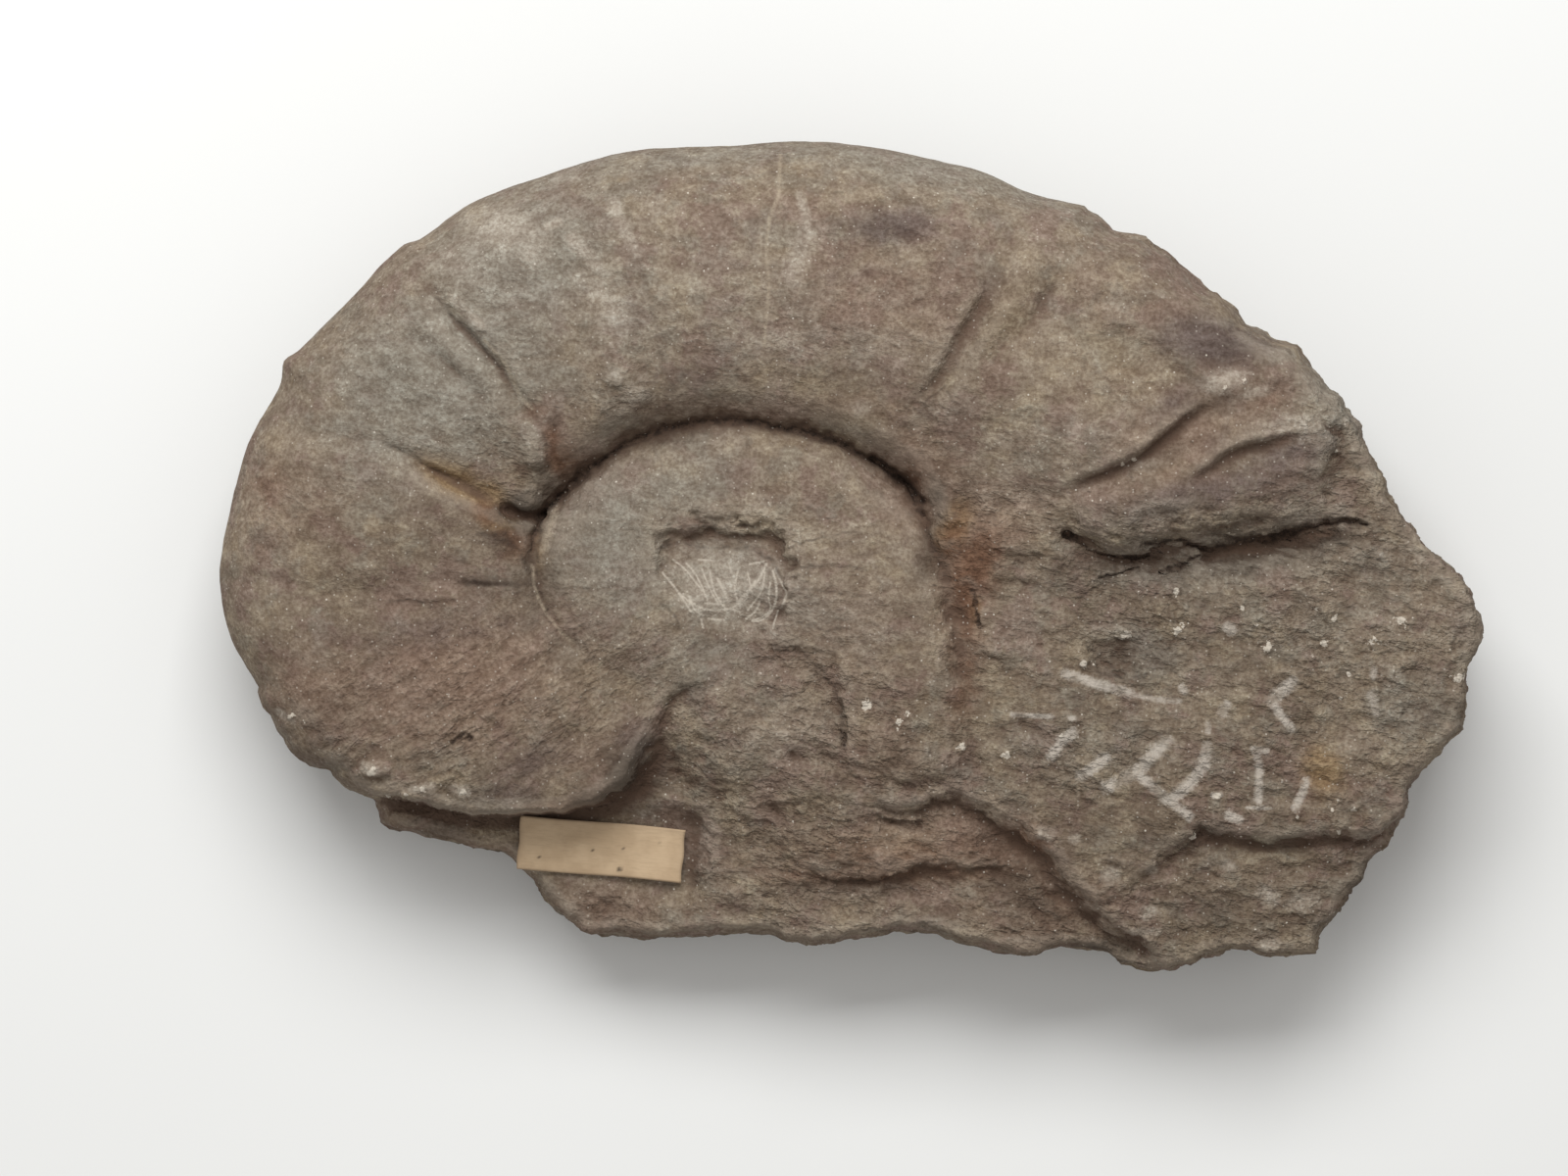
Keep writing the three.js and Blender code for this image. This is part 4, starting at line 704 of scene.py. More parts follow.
# Stains, tones and painted shade, in their order: the mark, its colour and its strength
STAINS_AND_SHADE = [
    ("warm", (0.208, 0.142, 0.106), 0.85), ("tan", (0.290, 0.226, 0.150), 0.8),
    ("grey", (0.226, 0.204, 0.168), 0.9), ("dim", (0.085, 0.062, 0.045), 0.85),
    ("purple", (0.104, 0.078, 0.070), 0.85), ("ochre", (0.250, 0.170, 0.092), 0.9),
    ("rust", (0.140, 0.072, 0.042), 0.85), ("pale", (0.365, 0.320, 0.265), 0.8),
    ("shade", (0.040, 0.027, 0.019), 0.92),
]
# Lines: the mark, the noise that breaks it up, from where to where in it, from how strong to how
# strong, and the colour
LINES = [
    ("light_line", "powder", (0.35, 0.60, 0.05, 0.55), (0.350, 0.290, 0.215)),
    ("scratch", "powder", (0.32, 0.58, 0.35, 0.85), (0.440, 0.390, 0.325)),
    # The dark lines' colour: painted shade in cracks, along ledges and at the seam wall's foot
    ("dark_line", "line_gaps", (0.40, 0.56, 0.05, 0.95), (0.036, 0.024, 0.018)),
]
# Painted glints, as pale specks: the size of their cells, their reach in it, how rare and how
# strong they are
SPECKS = [(1.7, 0.15, 0.95, 0.75), (0.9, 0.28, 0.88, 0.35)]
# How the fine relief tints the colour, with painted shade in its low places and painted light on
# its high ones, and the mottle as the stone's own tone: from where to where in it, from which
# factor to which
TINTS = {
    "flakes": (0.32, 0.68, 0.82, 1.16), "grain": (0.34, 0.66, 0.79, 1.21),
    "mottle": (0.36, 0.64, 0.94, 1.06), "facets": (0.25, 0.75, 1.06, 0.84),
}
TINT_POWERS = (0.92, 1.08, 1.18)  # how strongly a tint takes from red, green and blue
# How high the fine relief is, in millimetres, on kept shell and on rough stone
RELIEF_HEIGHTS = {
    "flakes": (0.7, 1.6), "steps": (0.02, 0.13), "grain": (0.26, 0.30), "facets": (-0.05, -0.30),
    "creases": (-0.08, -0.08),
}

FLOAT = "NodeSocketFloat"


def clamp(u):
    return np.clip(u, 0, 1)


def smooth(u):
    return clamp(u) ** 2 * (3 - 2 * clamp(u))


def ramp(value, span):
    """0 at the first end of a span, 1 at the other, and eased between them."""
    start, end = span
    return smooth((value - start) / (end - start))


def brow(u):
    """Steep at its foot and round at the top, as a broken wall is."""
    return 1 - (1 - clamp(u)) ** 2


def mix(a, b, share):
    return a + (b - a) * share


def by_angle(table, degrees):
    """A value given at some angles, on a smooth closed curve through them."""
    at, value = np.array(table, float).T
    span = np.diff(np.append(at, at[0] + 360))
    slope = (np.roll(value, -1) - np.roll(value, 1)) / (span + np.roll(span, 1))
    start = np.cumsum(span) - span
    angle = (degrees - at[0]) % 360
    i = np.searchsorted(start, angle, side="right") - 1
    j = (i + 1) % len(at)
    u = (angle - start[i]) / span[i]
    held = mix(value[i], value[j], u * u * (3 - 2 * u))
    return held + u * (1 - u) * ((1 - u) * slope[i] - u * slope[j]) * span[i]


def about_axis(x, y):
    """Angle and radius about the coil's axis."""
    dx, dy = x - AXIS[0], y - AXIS[1]
    return np.degrees(np.arctan2(dy, dx)), np.hypot(dx, dy)


def whorl_turn(angle):
    """The angle counted on from where the outer whorl's turn starts."""
    return np.where(angle < TURN_START, angle + 360, angle)


def beside(start, end, x, y, reach):
    """The points near a stretch of a line: which they are, the share of the stretch up to the place
    nearest to each, and how far off it each lies along X and along Y."""
    (ax, ay), (bx, by) = start[:2], end[:2]
    near = np.abs(x - (ax + bx) / 2) < abs(bx - ax) / 2 + reach
    near = np.flatnonzero(near & (np.abs(y - (ay + by) / 2) < abs(by - ay) / 2 + reach))
    dx, dy, sx, sy = x[near] - ax, y[near] - ay, bx - ax, by - ay
    share = clamp((dx * sx + dy * sy) / (sx * sx + sy * sy))
    return near, share, dx - share * sx, dy - share * sy


def nearest(line, x, y, reach):
    """How far each point is from a line, up to a reach, and its side of the line, above 0 on the
    left."""
    line = np.array(line, float)[:, :2]
    steps = np.diff(line, axis=0)
    unit = steps / np.hypot(*steps.T)[:, None]
    distance, side = np.full(len(x), float(reach)), np.zeros(len(x))
    for i, step in enumerate(steps):
        near, share, off_x, off_y = beside(line[i], line[i + 1], x, y, reach)
        gap = np.hypot(off_x, off_y)
        closer = gap < distance[near]
        near, share = near[closer], share[closer]
        distance[near] = gap[closer]
        before = unit[i] + (unit[i - 1] if i else 0)
        after = unit[i] + (unit[i + 1] if i + 1 < len(unit) else 0)
        tx = np.where(share <= 0, before[0], np.where(share >= 1, after[0], step[0]))
        ty = np.where(share <= 0, before[1], np.where(share >= 1, after[1], step[1]))
        side[near] = tx * off_y[closer] - ty * off_x[closer]
    return distance, side


def ragged(points, closed=False):
    """The line with its stretches kinked at random, again and again, as a break is. Where a wide
    wall stands along it, it is left even."""
    chance = np.random.default_rng(RAGGED_SEED)
    line = [tuple(float(v) for v in (*point, 0)[:3]) for point in points]
    line += line[:1] if closed else []
    for _ in range(RAGGED_TIMES):
        kinked = line[:1]
        for (ax, ay, aw), (bx, by, bw) in zip(line, line[1:]):
            if RAGGED_STEP < math.hypot(bx - ax, by - ay) < RAGGED_LIMIT:
                width = (aw + bw) / 2
                off = chance.uniform(-RAGGED_SHARE, RAGGED_SHARE)
                off = off * clamp((RAGGED_WIDEST - width) / RAGGED_FADE)
                middle = ((ax + bx) / 2 - off * (by - ay), (ay + by) / 2 + off * (bx - ax))
                kinked.append((*middle, width))
            kinked.append((bx, by, bw))
        line = kinked
    return line[:-1] if closed else line


def is_inside(corners, x, y):
    inside = np.zeros(len(x), bool)
    for (ax, ay, _), (bx, by, _) in zip(corners, corners[1:] + corners[:1]):
        if ay != by:
            crosses = ((ay > y) != (by > y)) & (x < ax + (bx - ax) * (y - ay) / (by - ay))
            inside ^= crosses
    return inside


def raised(corners, x, y):
    """How much of a raised area is present: 0 outside it, 1 past the wall at its edge. A narrow
    wall is steep at its foot and a wide one is an even slope."""
    share, wide = np.ones(len(x)), np.ones(len(x))
    for start, end in zip(corners, corners[1:] + corners[:1]):
        near, along, off_x, off_y = beside(start, end, x, y, max(start[2], end[2]))
        width = mix(start[2], end[2], along)
        up = np.hypot(off_x, off_y) / width
        closer = up < share[near]
        share[near[closer]] = up[closer]
        wide[near[closer]] = width[closer]
    rise = mix(brow(share), smooth(share), ramp(wide, EVEN_WALL_WIDTHS))
    return np.where(is_inside(corners, x, y), rise, 0)


def unevenness(layers, x, y):
    """For each height, size and seed, waves in directions spread by the golden angle."""
    level = np.zeros(len(x))
    for height, size, seed in layers:
        for i in range(seed, seed + WAVES):
            turn = i * GOLDEN_ANGLE
            pitch = 2 * math.pi / size * (WAVE_PITCH + WAVE_PITCH_STEP * (i - seed))
            phase = pitch * (x * math.cos(turn) + y * math.sin(turn)) + WAVE_SHIFT * i
            level += height * np.sin(phase) / math.sqrt(2 * WAVES)
    return level


def furrows(lines, x, y):
    """Rises and furrows along lines of points, each with its half width and height."""
    level = np.zeros(len(x))
    for points, width, height in lines:
        distance, _ = nearest(points, x, y, 3 * width)
        level += height * np.exp(-((distance / width) ** 2))
    return level


def ledges(lines, spread, x, y):
    """How far the surface has dropped on the right-hand side of each line: within `spread` of the
    line, then less and less over its reach. It drops less towards the line's ends."""
    level = np.zeros(len(x))
    for points, reach, drop in lines:
        distance, side = nearest(points, x, y, 2.5 * reach)
        (ax, ay), (bx, by) = points[0][:2], points[-1][:2]
        along = ((x - ax) * (bx - ax) + (y - ay) * (by - ay)) / ((bx - ax) ** 2 + (by - ay) ** 2)
        ends = smooth(LEDGE_ENDS * along) * smooth(LEDGE_ENDS * (1 - along))
        below = np.where(side < 0, distance, -distance)
        past = smooth((below + spread) / (2 * spread))
        level += drop * ends * past * np.exp(-((distance / reach) ** 2))
    return level


def smooth_curve(points, steps):
    """Points at equal steps along an eased curve through the given ones."""
    p = np.array(points, float)
    p = np.vstack([2 * p[0] - p[1], p, 2 * p[-1] - p[-2]])
    u = np.linspace(0, 1, CURVE_STEPS, endpoint=False)[:, None]
    stretches = []
    for before, a, b, after in zip(p, p[1:], p[2:], p[3:]):
        t0, t1, t2 = (np.sqrt(np.linalg.norm(d)) for d in (a - before, b - a, after - b))
        leave = ((a - before) / t0 - (b - before) / (t0 + t1) + (b - a) / t1) * t1
        arrive = ((b - a) / t1 - (after - a) / (t1 + t2) + (after - b) / t2) * t1
        held = mix(a, b, u * u * (3 - 2 * u))
        stretches.append(held + u * (1 - u) * ((1 - u) * leave - u * arrive))
    return resample(np.vstack([*stretches, p[-2:-1]]), steps)


def resample(line, count):
    """The line's points moved to equal steps along it, both ends kept."""
    along = np.append(0, np.cumsum(np.hypot(*np.diff(line, axis=0).T)))
    at = np.linspace(0, along[-1], count)
    return np.column_stack([np.interp(at, along, line[:, 0]), np.interp(at, along, line[:, 1])])


# The lines above as they are used: curved where the stone is worn, kinked where it is broken
FLANK_LEDGE_CURVES = [(smooth_curve(points, LEDGE_POINTS), *rest) for points, *rest in FLANK_LEDGES]
LEDGE_LINES = [(ragged(points), reach, drop) for points, reach, drop in LEDGES]
KEPT_SHELL_LINE = ragged(KEPT_SHELL, closed=True)
RIGHT_BLOCK_LINE = ragged(RIGHT_BLOCK, closed=True)
LOWER_SHELF_LINE = ragged(LOWER_SHELF, closed=True)
SCRATCH_CURVES = [(width, smooth_curve(points, SCRATCH_POINTS)) for width, points in SCRATCHES]
CRACK_LINES = [(ragged(points), width, depth) for points, width, depth in CRACKS]
CRACK_STROKES = [(width, points) for points, width, _ in CRACK_LINES]
DARK_LINE_PATHS = [(width, ragged(points)) for width, points in DARK_LINES]
BROKEN_LINE = np.array(ragged([VENTER[-1], *BROKEN_EDGE, VENTER[0]]))[:, :2]

# The stone's whole edge by its angle about the middle, with its nicks and evened out, and its even
# edge by the angle about the coil's axis
EDGE_LINE = np.vstack([smooth_curve(VENTER, VENTER_POINTS)[:-1], BROKEN_LINE])
EDGE_LINE = resample(EDGE_LINE, EDGE_STEPS)
EDGE_ANGLE, EDGE_RADIUS = np.arctan2(*EDGE_LINE.T[::-1]), np.hypot(*EDGE_LINE.T)
NICK_SHIFTS = range(-NICK_SPAN, NICK_SPAN + 1)
EVENED_RADIUS = sum(np.roll(EDGE_RADIUS, shift) for shift in NICK_SHIFTS) / len(NICK_SHIFTS)
EVEN_EDGE = np.vstack([smooth_curve(VENTER, EVEN_VENTER_POINTS), BROKEN_EDGE])
EVEN_ANGLE, EVEN_RADIUS = about_axis(*EVEN_EDGE.T)

# The marks, and the painted light and shade, by the names that they are stored under
SPOT_MARKS = {
    "rust": RUST, "ochre": OCHRE, "shade": SHADE, "purple": PURPLE, "warm": WARM, "grey": GREY,
    "dim": SOFT_SHADE, "tan": TAN, "pale": PALE, "lit": LIT, "slant": SLANTING,
    "chips": [(x, y, reach * 0.8, reach * 0.8, 0, 1) for x, y, reach in CHIPS],
}
# Strokes: how softly their borders fade, their strength and the edges of the face beside them
STROKE_MARKS = [
    ("chalk", CHALK, 0.9, 1, MARK_EDGE),
    ("pale", PALE_STROKES, 1.0, 0.75, MARK_EDGE),
    ("light_line", LIGHT_LINES, 0.7, 1, LINE_EDGE),
    ("dark_line", DARK_LINE_PATHS, 0.9, 0.6, LINE_EDGE),
    ("crack", CRACK_STROKES, 0.8, 1, LINE_EDGE),
    ("scratch", SCRATCH_CURVES, 0.5, 1, SCRATCH_EDGE),
]


def edge_radius(x, y):
    """Radius of the stone's edge about the middle, in the direction of (x, y). The edge's nicks
    fade out inwards."""
    angle = np.arctan2(y, x)
    nicked = np.interp(angle, EDGE_ANGLE, EDGE_RADIUS, period=2 * math.pi)
    even = np.interp(angle, EDGE_ANGLE, EVENED_RADIUS, period=2 * math.pi)
    return mix(even, nicked, smooth((np.hypot(x, y) - even) / NICK_DEPTH + NICK_START))


def seam_radius(x, y):
    """Radius of the seam about the axis, which strays a little where it is near."""
    angle, radius = about_axis(x, y)
    seam = by_angle(SEAM_RADIUS, angle)
    near = np.exp(-(((radius - seam) / SEAM_WANDER_REACH) ** 2))
    return seam + unevenness(SEAM_WANDER, x, y) * near


def inner_whorl_level(x, y, seam):
    """Level of the whorl inside the seam, with the pit in its middle."""
    angle, radius = about_axis(x, y)
    pit = by_angle(PIT_RADIUS, angle)
    pit = pit + smooth(radius / pit) * unevenness(PIT_WANDER, x, y)
    off = smooth(radius / pit)
    crest = mix(INNER_MEAN_CREST, by_angle(INNER_CREST, angle), off)
    drop = mix(PIT_MEAN_DROP, by_angle(PIT_DROP, angle), off)
    level = mix(by_angle(SEAM_LEVEL, angle), crest, brow((seam - radius) / INNER_SHOULDER))
    up = (radius - pit) / by_angle(PIT_WALL, angle)
    return level - drop * (1 - mix(brow(up), smooth(up), PIT_WALL_EVENNESS))


def outer_whorl_level(x, y, seam):
    """Level of the outer whorl: a steep wall off the seam, the flank's bow and its outward fall."""
    angle, radius = about_axis(x, y)
    foot = by_angle(SEAM_LEVEL, angle)
    crest = CREST * np.exp(CREST_GROWTH * (CREST_ANGLE - whorl_turn(angle)))
    edge = np.interp(angle, EVEN_ANGLE, EVEN_RADIUS, period=360)
    height = (radius - seam) / (edge - seam)
    past = clamp((height - FLANK_CREST_AT) / (1 - FLANK_CREST_AT))
    wall = by_angle(SEAM_WALL, angle)
    level = foot + wall * brow((radius - seam) / by_angle(SEAM_WALL_WIDTH, angle))
    bow = 1 - (1 - clamp(height / FLANK_CREST_AT)) ** FLANK_BOW
    level = level + (crest - foot - wall) * bow
    level = level - FLANK_DROP * past**2
    dropped = ledges(FLANK_LEDGE_CURVES, FLANK_LEDGE_SPREAD, x, y)
    return level + furrows(FLANK_RELIEF, x, y) - dropped


def shell_level(x, y):
    """Level of the kept shell surface."""
    seam = seam_radius(x, y)
    inside = about_axis(x, y)[1] < seam
    return np.where(inside, inner_whorl_level(x, y, seam), outer_whorl_level(x, y, seam))


def plane_level(plane, x, y):
    at_x, at_y, level, slope_x, slope_y = plane
    return level + slope_x * (x - at_x) + slope_y * (y - at_y)


def ground_level(x, y):
    """The lower ground, eased through its spot heights."""
    total, weights = np.zeros(len(x)), np.full(len(x), 1e-12)
    for at_x, at_y, level in GROUND_SPOTS:
        weight = 1 / (((x - at_x) ** 2 + (y - at_y) ** 2 + SPOT_REACH**2) ** 2)
        total += weight * level
        weights += weight
    return total / weights


def rock_level(x, y):
    """Level of the bare rock: the lower ground, the shelf and the block at the right."""
    level = mix(ground_level(x, y), plane_level(SHELF, x, y), raised(LOWER_SHELF_LINE, x, y))
    level = mix(level, plane_level(BLOCK, x, y), raised(RIGHT_BLOCK_LINE, x, y))
    return level - ledges(LEDGE_LINES, LEDGE_SPREAD, x, y)


def label_bed(x, y):
    """How much the stone keeps to the plane that the label lies on."""
    turn = math.radians(LABEL_TURN)
    dx, dy = x - LABEL_X, y - LABEL_Y
    along = np.abs(dx * math.cos(turn) + dy * math.sin(turn))
    across = np.abs(dy * math.cos(turn) - dx * math.sin(turn))
    past_end = np.maximum(0, along - LABEL_LENGTH / 2)
    past_side = np.maximum(0, across - LABEL_WIDTH / 2)
    return 1 - smooth((np.hypot(past_end, past_side) - LABEL_BED_RIM) / LABEL_BED_MARGIN)


def face_level(x, y):
    """Level of the face that is seen, before its side is rounded over."""
    kept = raised(KEPT_SHELL_LINE, x, y)
    level = mix(rock_level(x, y), shell_level(x, y), kept) + furrows(FURROWS, x, y)
    for points, width, depth in CRACK_LINES:
        distance, _ = nearest(points, x, y, 2 * width)
        level = level - depth * smooth(1 - distance / (2 * width))
    bed = np.minimum(level, plane_level(LABEL_PLANE, x, y) - LABEL_BED_DEPTH)
    return mix(level, bed, label_bed(x, y) * (1 - kept))


def top_level(x, y):
    """Level of the face with its side rounded over."""
    angle, _ = about_axis(x, y)
    inward = (edge_radius(x, y) - np.hypot(x, y)) / by_angle(SIDE_WIDTH, angle)
    rounded = np.sqrt(1 - clamp(1 - inward) ** 2)
    return mix(by_angle(SIDE_LEVEL, angle), face_level(x, y), rounded)


def edge_points(count):
    """Points at equal steps round the edge, with their radii about the middle and their angles
    about the coil's axis."""
    x, y = resample(EDGE_LINE, count + 1)[:-1].T
    return x, y, np.hypot(x, y), about_axis(x, y)[0]


def stone_rings():
    """Closed rings of points from the middle of the face, over the side, to the resting face, and
    how many of the points are on the face."""
    full = 6 * RINGS
    sizes, x, y, z = [], [], [], []

    def ring(at_x, at_y, level):
        sizes.append(len(at_x))
        x.append(at_x)
        y.append(at_y)
        z.append(level)

    for i in range(1, RINGS + 1):
        edge_x, edge_y, radius, angle = edge_points(6 * i)
        keep = (1 - SIDE_SHARE * by_angle(SIDE_WIDTH, angle) / radius) * i / RINGS
        ring(edge_x * keep, edge_y * keep, np.zeros(6 * i))
    on_face = sum(sizes)

    # The side's rings hold the sine of their lean for now, and get their levels below
    edge_x, edge_y, radius, angle = edge_points(full)
    width, widest = by_angle(SIDE_WIDTH, angle), by_angle(SIDE_LEVEL, angle)
    broken = 1 - ramp(width, WHOLE_SIDE_WIDTHS)
    leans = math.acos(1 - SIDE_SHARE) * (1 - np.arange(1, SIDE_RINGS + 1) / SIDE_RINGS)
    for lean in leans:
        height = np.full(full, BREAK_HEIGHT * lean)
        hollow = unevenness(BREAK_FACETS, radius * np.radians(angle), height)
        hollow = np.maximum(0, hollow) * broken
        keep = 1 - (width * (1 - math.cos(lean)) + hollow * math.sin(2 * lean)) / radius
        ring(edge_x * keep, edge_y * keep, np.full(full, math.sin(lean)))
    side = slice(on_face, sum(sizes))

    for step, share in enumerate(UNDER_RINGS, 1):
        lean = math.pi / 2 * step / len(UNDER_RINGS)
        edge_x, edge_y, radius, angle = edge_points(round(full * share))
        keep = 1 - by_angle(UNDER_WIDTH, angle) * (1 - math.cos(lean)) / radius
        ring(edge_x * keep, edge_y * keep, by_angle(SIDE_LEVEL, angle) * (1 - math.sin(lean)))
    for reach, share in RESTING_RINGS:
        edge_x, edge_y, radius, angle = edge_points(round(full * share))
        keep = (1 - by_angle(UNDER_WIDTH, angle) / radius) * reach
        ring(edge_x * keep, edge_y * keep, np.zeros(len(radius)))

    x, y, z = np.concatenate(x), np.concatenate(y), np.concatenate(z)
    z[:on_face] = top_level(x[:on_face], y[:on_face])
    z[side] = mix(np.tile(widest, SIDE_RINGS), face_level(x[side], y[side]), z[side])
    return sizes, np.column_stack([x, y, z]), on_face


def join_rings(inner, inner_start, outer, outer_start):
    """Faces between two closed rings that start at the same angle, walking round both."""
    faces = []
    i = j = 0
    while i < inner or j < outer:
        a = inner_start + i % inner
        b = outer_start + j % outer
        if j < outer and (i == inner or (j + 1) * inner <= (i + 1) * outer):
            j += 1
            faces.append((a, outer_start + j % outer, b))
        else:
            i += 1
            faces.append((a, inner_start + i % inner, b))
    return faces


def wanted_length(x, y):
    """The longest edge wanted at each place of the face: short beside thin marks."""
    wanted = np.full(len(x), FACE_EDGE)
    for _, strokes, _, _, length in STROKE_MARKS:
        for width, line in strokes:
            band = width + LINE_MARGIN
            wanted[nearest(line, x, y, band)[0] < band] = length
    for at_x, at_y, reach in CHIPS:
        wanted[np.hypot(x - at_x, y - at_y) < reach + LINE_MARGIN] = LINE_EDGE
    return wanted


def is_too_long(points, on_top, a, b):
    """Which edges of the face, from points a to points b, are longer than wanted there."""
    length = np.linalg.norm(points[a] - points[b], axis=1)
    wanted = wanted_length(points[:, 0], points[:, 1])
    wanted = np.minimum(wanted[a], wanted[b])
    inner = (1 - SIDE_STRIP) * edge_radius(*points.T[:2]) - np.hypot(*points.T[:2])
    steep = np.abs(points[a, 2] - points[b, 2]) > STEEP * np.hypot(*(points[a] - points[b]).T[:2])
    steep &= (inner[a] > 0) & (inner[b] > 0)
    wanted = np.where(steep, np.minimum(wanted, STEEP_EDGE), wanted)
    return (length > wanted) & on_top[a] & on_top[b]


def cut_faces(faces, cut):
    """The triangles rebuilt round the new points on their edges, where `cut` is -1 for none."""
    made = [faces[(cut < 0).all(axis=1)]]
    for turn in range(3):
        p, q, r = np.roll(faces, -turn, axis=1).T
        m, n, o = np.roll(cut, -turn, axis=1).T
        one = (m >= 0) & (n < 0) & (o < 0)
        made += [np.column_stack(t)[one] for t in ((p, m, r), (m, q, r))]
        two = (m >= 0) & (n >= 0) & (o < 0)
        made += [np.column_stack(t)[two] for t in ((m, q, n), (p, m, n), (p, n, r))]
    (p, q, r), (m, n, o) = faces.T, cut.T
    every = (cut >= 0).all(axis=1)
    made += [np.column_stack(t)[every] for t in ((p, m, o), (m, q, n), (o, n, r), (m, n, o))]
    return np.vstack(made)


def halve_long(points, faces, on_top):
    """Halves each edge of the face that is longer than wanted there and rebuilds its triangles."""
    pairs = np.stack([faces, np.roll(faces, -1, axis=1)], axis=2).reshape(-1, 2)
    pairs.sort(axis=1)
    keys = pairs[:, 0] * len(points) + pairs[:, 1]
    _, first, edge_of = np.unique(keys, return_index=True, return_inverse=True)
    a, b = pairs[first].T
    long = np.flatnonzero(is_too_long(points, on_top, a, b))
    middle = np.full(len(first), -1)
    middle[long] = len(points) + np.arange(len(long))
    x, y, _ = (points[a[long]] + points[b[long]]).T / 2
    points = np.vstack([points, np.column_stack([x, y, top_level(x, y)])])
    on_top = np.append(on_top, np.ones(len(long), bool))
    return points, cut_faces(faces, middle[edge_of.reshape(-1, 3)]), on_top


def mesh_object(name, vertices, faces, material):
    mesh = bpy.data.meshes.new(name)
    mesh.from_pydata(vertices, [], faces)
    mesh.materials.append(material)
    mesh.polygons.foreach_set("use_smooth", [True] * len(mesh.polygons))
    made = bpy.data.objects.new(name, mesh)
    bpy.context.scene.collection.objects.link(made)
    return made


def give(mesh, name, values):
    """Stores a number, or three, at every vertex of a mesh."""
    values = np.asarray(values, np.float32)
    kind, field = ("FLOAT", "value") if values.ndim == 1 else ("FLOAT_VECTOR", "vector")
    mesh.attributes.new(name, kind, "POINT").data.foreach_set(field, values.ravel())


def spot_amount(spots, x, y):
    amount = np.zeros(len(x))
    for at_x, at_y, along, across, turn, strength in spots:
        c, s = math.cos(math.radians(turn)), math.sin(math.radians(turn))
        u = ((x - at_x) * c + (y - at_y) * s) / along
        v = ((y - at_y) * c - (x - at_x) * s) / across
        amount = np.maximum(amount, strength * np.exp(-0.5 * (u * u + v * v)))
    return amount


def stroke_amount(strokes, x, y, edge):
    """1 along each stroke, fading over `edge` of its half width on both sides of its border."""
    amount = np.zeros(len(x))
    for width, points in strokes:
        distance, _ = nearest(points, x, y, 2 * width)
        amount = np.maximum(amount, smooth((1 + edge - distance / width) / (2 * edge)))
    return amount


def hollow_amount(points, on_top, size):
    """How deep each point of the face lies below the mean level about it, weighed over `size`."""
    window = 3 * HOLLOW_CELLS
    margin = window + HOLLOW_CELLS
    where = (points[:, :2] - points[:, :2].min(axis=0)) / (size / HOLLOW_CELLS)
    where = np.floor(where).astype(int) + margin
    shape = where.max(axis=0) + margin + 1
    flat = where[:, 0] * shape[1] + where[:, 1]
    chosen = flat[on_top]
    total = np.bincount(chosen, points[on_top, 2], shape.prod()).reshape(shape)
    count = np.bincount(chosen, minlength=shape.prod()).reshape(shape).astype(float)
    total = total / np.maximum(count, 1)
    count = np.minimum(count, 1)
    weights = np.exp(-0.5 * (np.arange(-window, window + 1) / HOLLOW_CELLS) ** 2)
    for axis in (0, 1):
        total = np.apply_along_axis(np.convolve, axis, total, weights, "same")
        count = np.apply_along_axis(np.convolve, axis, count, weights, "same")
    mean = (total / np.maximum(count, 1e-9)).ravel()[flat]
    x, y, z = points.T
    angle, _ = about_axis(x, y)
    inward = edge_radius(x, y) - np.hypot(x, y)
    whole = smooth((inward - HOLLOW_SIDE * by_angle(SIDE_WIDTH, angle)) / (2 * size))
    return np.where(on_top, (mean - z) * whole, 0)


def stone_faces():
    """The stone's points and triangles, and which of its points are on the face."""
    sizes, points, face_count = stone_rings()
    middle = top_level(np.zeros(1), np.zeros(1))[0]
    points = np.vstack([[(0, 0, middle)], points, [(0, 0, 0)]])
    faces = [(0, 1 + (j + 1) % sizes[0], 1 + j) for j in range(sizes[0])]
    start = 1
    for size, following in zip(sizes, sizes[1:]):
        faces += join_rings(size, start, following, start + size)
        start += size
    last = len(points) - 1
    faces += [(last, start + j, start + (j + 1) % sizes[-1]) for j in range(sizes[-1])]
    faces = np.array(faces)
    on_face = np.arange(len(points)) <= face_count
    for _ in range(HALVINGS):
        points, faces, on_face = halve_long(points, faces, on_face)
    return points, faces, on_face


def stone_marks(points):
    """How strong each mark, and the painted light and shade, is at each point. None of them is on
    the lower side.
    """
    x, y, z = points.T
    marks = {name: spot_amount(spots, x, y) for name, spots in SPOT_MARKS.items()}
    strokes = {
        name: strength * stroke_amount(lines, x, y, edge)
        for name, lines, edge, strength, _ in STROKE_MARKS
    }
    marks["slant"] = clamp(marks["slant"])
    marks["pale"] = np.maximum(marks["pale"], strokes.pop("pale"))
    angle, radius = about_axis(x, y)
    # Painted shade along the foot of the seam's wall, and in the cracks, joins the dark lines
    foot = by_angle(SEAM_DARKNESS, whorl_turn(angle))
    foot = foot * np.exp(-(((radius - seam_radius(x, y)) / SEAM_LINE_WIDTH) ** 2))
    dark = np.maximum(strokes.pop("crack"), strokes["dark_line"])
    strokes["dark_line"] = np.maximum(dark, foot)
    marks.update(strokes)
    return {name: amount * ramp(z, MARKED_LEVELS) for name, amount in marks.items()}


